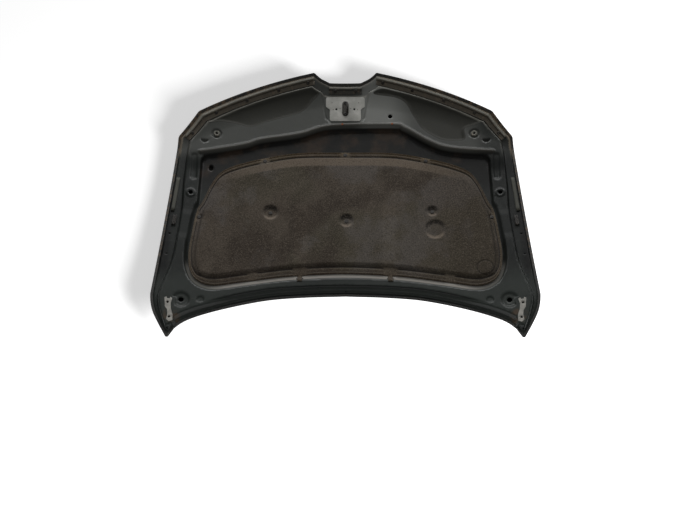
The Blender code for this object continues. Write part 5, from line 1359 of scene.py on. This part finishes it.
def felt_finish():
    f = Finish("pressed_felt")
    fold_shade, rim, bevel, bowl = (f.attribute(name) for name in ("fold_shade", "rim", "bevel", "bowl"))
    fibre, fluff = f.noise(620.0, 4.0, 0.75), f.noise(210.0, 4.0, 0.7)
    patch, blotch = f.noise(8.0, 5.0, 0.62), f.noise(3.0, 3.0, 0.55)
    grey = f.noise(5.0, 4.0, 0.6, (1.0, 1.0, 3.0))
    f.base(patch.ramp(0.38, 0.62), (48, 41, 34), (66, 59, 51))
    f.layer(blotch.ramp(0.44, 0.60) * 0.5, 59, 56, 44)
    f.layer(grey.ramp(0.50, 0.64) * 0.6, 76, 72, 69)
    f.layer(f.x.ramp(0.24, 0.46) * 0.45, 46, 38, 30)
    # Painted light on the bevel up to the felt's body
    f.layer(bevel * (0.8 - f.far.ramp(0.22, 0.46) * 0.45), 88, 78, 67)
    tan = f.mix(f.y.ramp(-0.05, 0.18), srgb(55, 47, 37), srgb(78, 66, 49))
    f.colour = f.mix(rim * 0.85, f.colour, f.mix(f.far.ramp(0.52, 0.58), tan, srgb(84, 74, 60)))
    # Painted highlight on the bowl walls that face the front, painted shade on those that face the rear
    f.layer(bowl.ramp(0.1, 0.9) * 0.8, 108, 97, 86)
    f.layer((-bowl).ramp(0.05, 0.7) * 0.8, 18, 15, 13)
    f.layer(fluff.ramp(0.53, 0.64) * 0.5, 94, 87, 78)
    f.layer(fibre.ramp(0.57, 0.68) * 0.5, 122, 115, 105)
    f.layer((1 - fluff.ramp(0.36, 0.48)) * 0.6, 26, 23, 20)
    # Painted shade in the rim's folds, the side fold line and the ring
    f.layer(fold_shade * 0.92, 12, 10, 8)
    height = fibre * 0.5 + fluff * 0.8
    return f.coat(Base_Color=f.colour, Roughness=0.94 + fluff * 0.06, Normal=f.bump(height, 0.0010, 0.8),
                  Sheen_Weight=0.08, Sheen_Roughness=0.6, Specular_IOR_Level=0.12)


def rubber_finish():
    f = Finish("foam_rubber")
    grain, broad = f.noise(300.0, 3.0), f.noise(12.0, 3.0)
    flange = f.attribute("flange")
    f.base(broad.ramp(0.35, 0.7), (78, 78, 72), (98, 96, 88))
    f.layer((1 - f.far.ramp(0.08, 0.11)) * 0.6, 58, 58, 54)
    foot = f.mix(f.far.ramp(0.08, 0.11), srgb(44, 43, 40), srgb(62, 56, 48))
    f.colour = f.mix(flange * 0.8, f.colour, foot)
    f.layer(f.noise(80.0, 4.0).ramp(0.52, 0.66) * 0.4, 98, 86, 72)
    f.layer((1 - f.y.ramp(0.12, 0.2)) * 0.8, 44, 45, 39)
    # Painted shade: near black in the bush's bore
    f.layer(f.spots((BUFFER,), 1.2 * BUSH_BORE), 6, 6, 6)
    return f.coat(Base_Color=f.colour, Roughness=0.58 + grain * 0.2, Normal=f.bump(grain, 0.0003, 0.6),
                  Specular_IOR_Level=0.35)


def plastic_finish():
    f = Finish("clip_plastic")
    grain = f.noise(500.0, 2.0)
    f.base(f.noise(40.0).ramp(0.4, 0.6), (30, 28, 26), (44, 41, 37))
    return f.coat(Base_Color=f.colour, Roughness=0.45 + grain * 0.15, Normal=f.bump(grain, 0.0001, 0.5),
                  Specular_IOR_Level=0.35)


def plate_finish():
    f = Finish("latch_plate_coat")
    broad, speck = f.noise(24.0, 4.0), f.noise(500.0, 2.0, 0.7)
    f.base(broad.ramp(0.35, 0.7), (124, 124, 119), (144, 143, 138))
    spots = f.spots(WELD_SPOTS, WELD_SPOT_RADIUS)
    f.layer(spots * 0.8, 78, 74, 68)
    f.layer(speck.ramp(0.6, 0.7) * 0.35, 84, 82, 76)
    return f.coat(Base_Color=f.colour, Roughness=0.42 + broad * 0.12, Specular_IOR_Level=0.4,
                  Normal=f.bump(f.noise(220.0), 0.0001, 0.4))


def zinc_finish():
    f = Finish("dull_zinc")
    grain = f.noise(220.0, 4.0)
    f.base(grain.ramp(0.35, 0.65), (52, 51, 48), (80, 78, 74))
    return f.coat(Base_Color=f.colour, Roughness=0.38 + grain * 0.2, Metallic=0.75,
                  Normal=f.bump(grain, 0.0002, 0.5))


def dark_steel():
    f = Finish("oiled_steel")
    grain = f.noise(180.0, 4.0)
    f.base(grain.ramp(0.4, 0.7), (10, 10, 10), (26, 25, 23))
    return f.coat(Base_Color=f.colour, Roughness=0.4 + grain * 0.2, Normal=f.bump(grain, 0.0002, 0.5))


def rust_finish():
    f = Finish("rust")
    grain = f.noise(700.0, 4.0, 0.7)
    f.base(grain.ramp(0.4, 0.62), (126, 68, 32), (72, 42, 26))
    return f.coat(Base_Color=f.colour, Roughness=0.9, Normal=f.bump(grain, 0.0004, 0.8))


# The object

PANEL_PAINT, BARE, SKIN_PAINT, FELT = panel_paint(), bare_coat(), skin_paint(), felt_finish()
RUBBER, PLASTIC, PLATE, ZINC, DARK, RUST = (rubber_finish(), plastic_finish(), plate_finish(), zinc_finish(),
                                            dark_steel(), rust_finish())
make_skin(SKIN_PAINT, cavity_shade_finish())
panel = make_panel(PANEL_PAINT, BARE)
liner = make_liner(FELT)
height = top_of(panel)
make_liner_clips(liner, PLASTIC)
make_seal_clips(make_front_seals(height, RUBBER), PLASTIC)
make_side_pieces(height, RUBBER, PLASTIC)
make_latch(PLATE, ZINC, DARK)
make_bushes(height, RUBBER)
make_plugs(height, RUST)
for side in ("left", "right"):
    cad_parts["hinge_plate_" + side].data.materials[0] = BARE
    for end in ("front", "rear"):
        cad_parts[f"hinge_nut_{side}_{end}"].data.materials[0] = ZINC


# Stage, light and camera

FLOOR_LEVEL, FLOOR_SIZE, BACKDROP_GLOW, SKY_LEVEL = -0.0005, 12.0, 0.57, 0.14


def floor_finish():
    # Pale floor; rays that show it as background see it brighter, and the shadow stays
    f = Finish("pale_floor")
    seen = f.add("ShaderNodeLightPath", {}, {}, "Is Camera Ray")
    for ray in ("Is Glossy Ray", "Is Transmission Ray"):
        other = f.add("ShaderNodeLightPath", {}, {}, ray)
        seen = seen.math("MAXIMUM", seen, other)
    glow = f.mix(seen, (0.0, 0.0, 0.0), (1.0, 1.0, 1.0))
    return f.coat(Base_Color=(0.6, 0.6, 0.6), Roughness=0.95, Specular_IOR_Level=0.0, Emission_Color=glow,
                  Emission_Strength=BACKDROP_GLOW)


def make_stage():
    bm = bmesh.new()
    bmesh.ops.create_grid(bm, x_segments=1, y_segments=1, size=FLOOR_SIZE)
    bmesh.ops.translate(bm, verts=bm.verts, vec=(0.0, 0.0, FLOOR_LEVEL))
    mesh = new_mesh("floor", bm)
    mesh.materials.append(floor_finish())
    floor = put_in_scene("floor", mesh)
    floor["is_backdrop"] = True
    return floor


def make_lamp(name, receivers, azimuth, elevation, distance, size, watts, mirrored_in=True):
    # A soft box that looks at the object; azimuth runs from the front edge towards +X
    lamp = bpy.data.lights.new(name, "AREA")
    lamp.shape = "RECTANGLE"
    lamp.size, lamp.size_y = size
    lamp.energy = watts
    place = put_in_scene(name, lamp)
    a, e = radians(azimuth), radians(elevation)
    place.location = Vector((sin(a) * cos(e), cos(a) * cos(e), sin(e))) * distance
    place.rotation_euler = place.location.to_track_quat("Z", "Y").to_euler()
    place.light_linking.receiver_collection = receivers
    place.visible_glossy = mirrored_in


def make_world(level):
    world = bpy.data.worlds.new("studio")
    world.use_nodes = True
    sky = world.node_tree.nodes["Background"].inputs
    sky["Color"].default_value = (1.0, 1.0, 1.0, 1.0)
    sky["Strength"].default_value = level
    bpy.context.scene.world = world


def light_group(name, members):
    group = bpy.data.collections.new(name)
    for member in members:
        group.objects.link(member)
    return group


VIEW_ELEVATION, VIEW_AZIMUTH, VIEW_ROLL, VIEW_DISTANCE = radians(62.0), radians(-1.21), radians(-1.02), 3.6
VIEW_TARGET, FOCAL_PIXELS, FRAME_PIXELS, SENSOR = Vector((-0.0292, -0.198, 0.0)), 939.3, 675, 36.0


def make_camera():
    camera = bpy.data.cameras.new("camera")
    camera.sensor_width = SENSOR
    camera.lens = FOCAL_PIXELS * SENSOR / FRAME_PIXELS
    place = put_in_scene("camera", camera)
    away = Vector((sin(VIEW_AZIMUTH) * cos(VIEW_ELEVATION), cos(VIEW_AZIMUTH) * cos(VIEW_ELEVATION),
                   -sin(VIEW_ELEVATION)))
    level = Vector((cos(VIEW_AZIMUTH), -sin(VIEW_AZIMUTH), 0.0))
    up = level.cross(away)
    right = cos(VIEW_ROLL) * level + sin(VIEW_ROLL) * up
    top = -sin(VIEW_ROLL) * level + cos(VIEW_ROLL) * up
    turn = Matrix((right, top, -away)).transposed().to_4x4()
    turn.translation = VIEW_TARGET - away * VIEW_DISTANCE
    place.matrix_world = turn
    bpy.context.scene.camera = place


floor = make_stage()
bonnet = light_group("lit_bonnet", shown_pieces())
ground = light_group("lit_floor", [floor])
make_world(SKY_LEVEL)
make_lamp("far_window", bonnet, azimuth=4, elevation=34, distance=4.0, size=(4.6, 2.0), watts=155)
make_lamp("ceiling", bonnet, azimuth=180, elevation=84, distance=3.5, size=(2.4, 2.0), watts=44,
          mirrored_in=False)
make_lamp("shadow_lamp", ground, azimuth=136, elevation=27, distance=6.0, size=(2.0, 2.0), watts=900)
make_camera()
bpy.context.scene.view_settings.view_transform = "Standard"
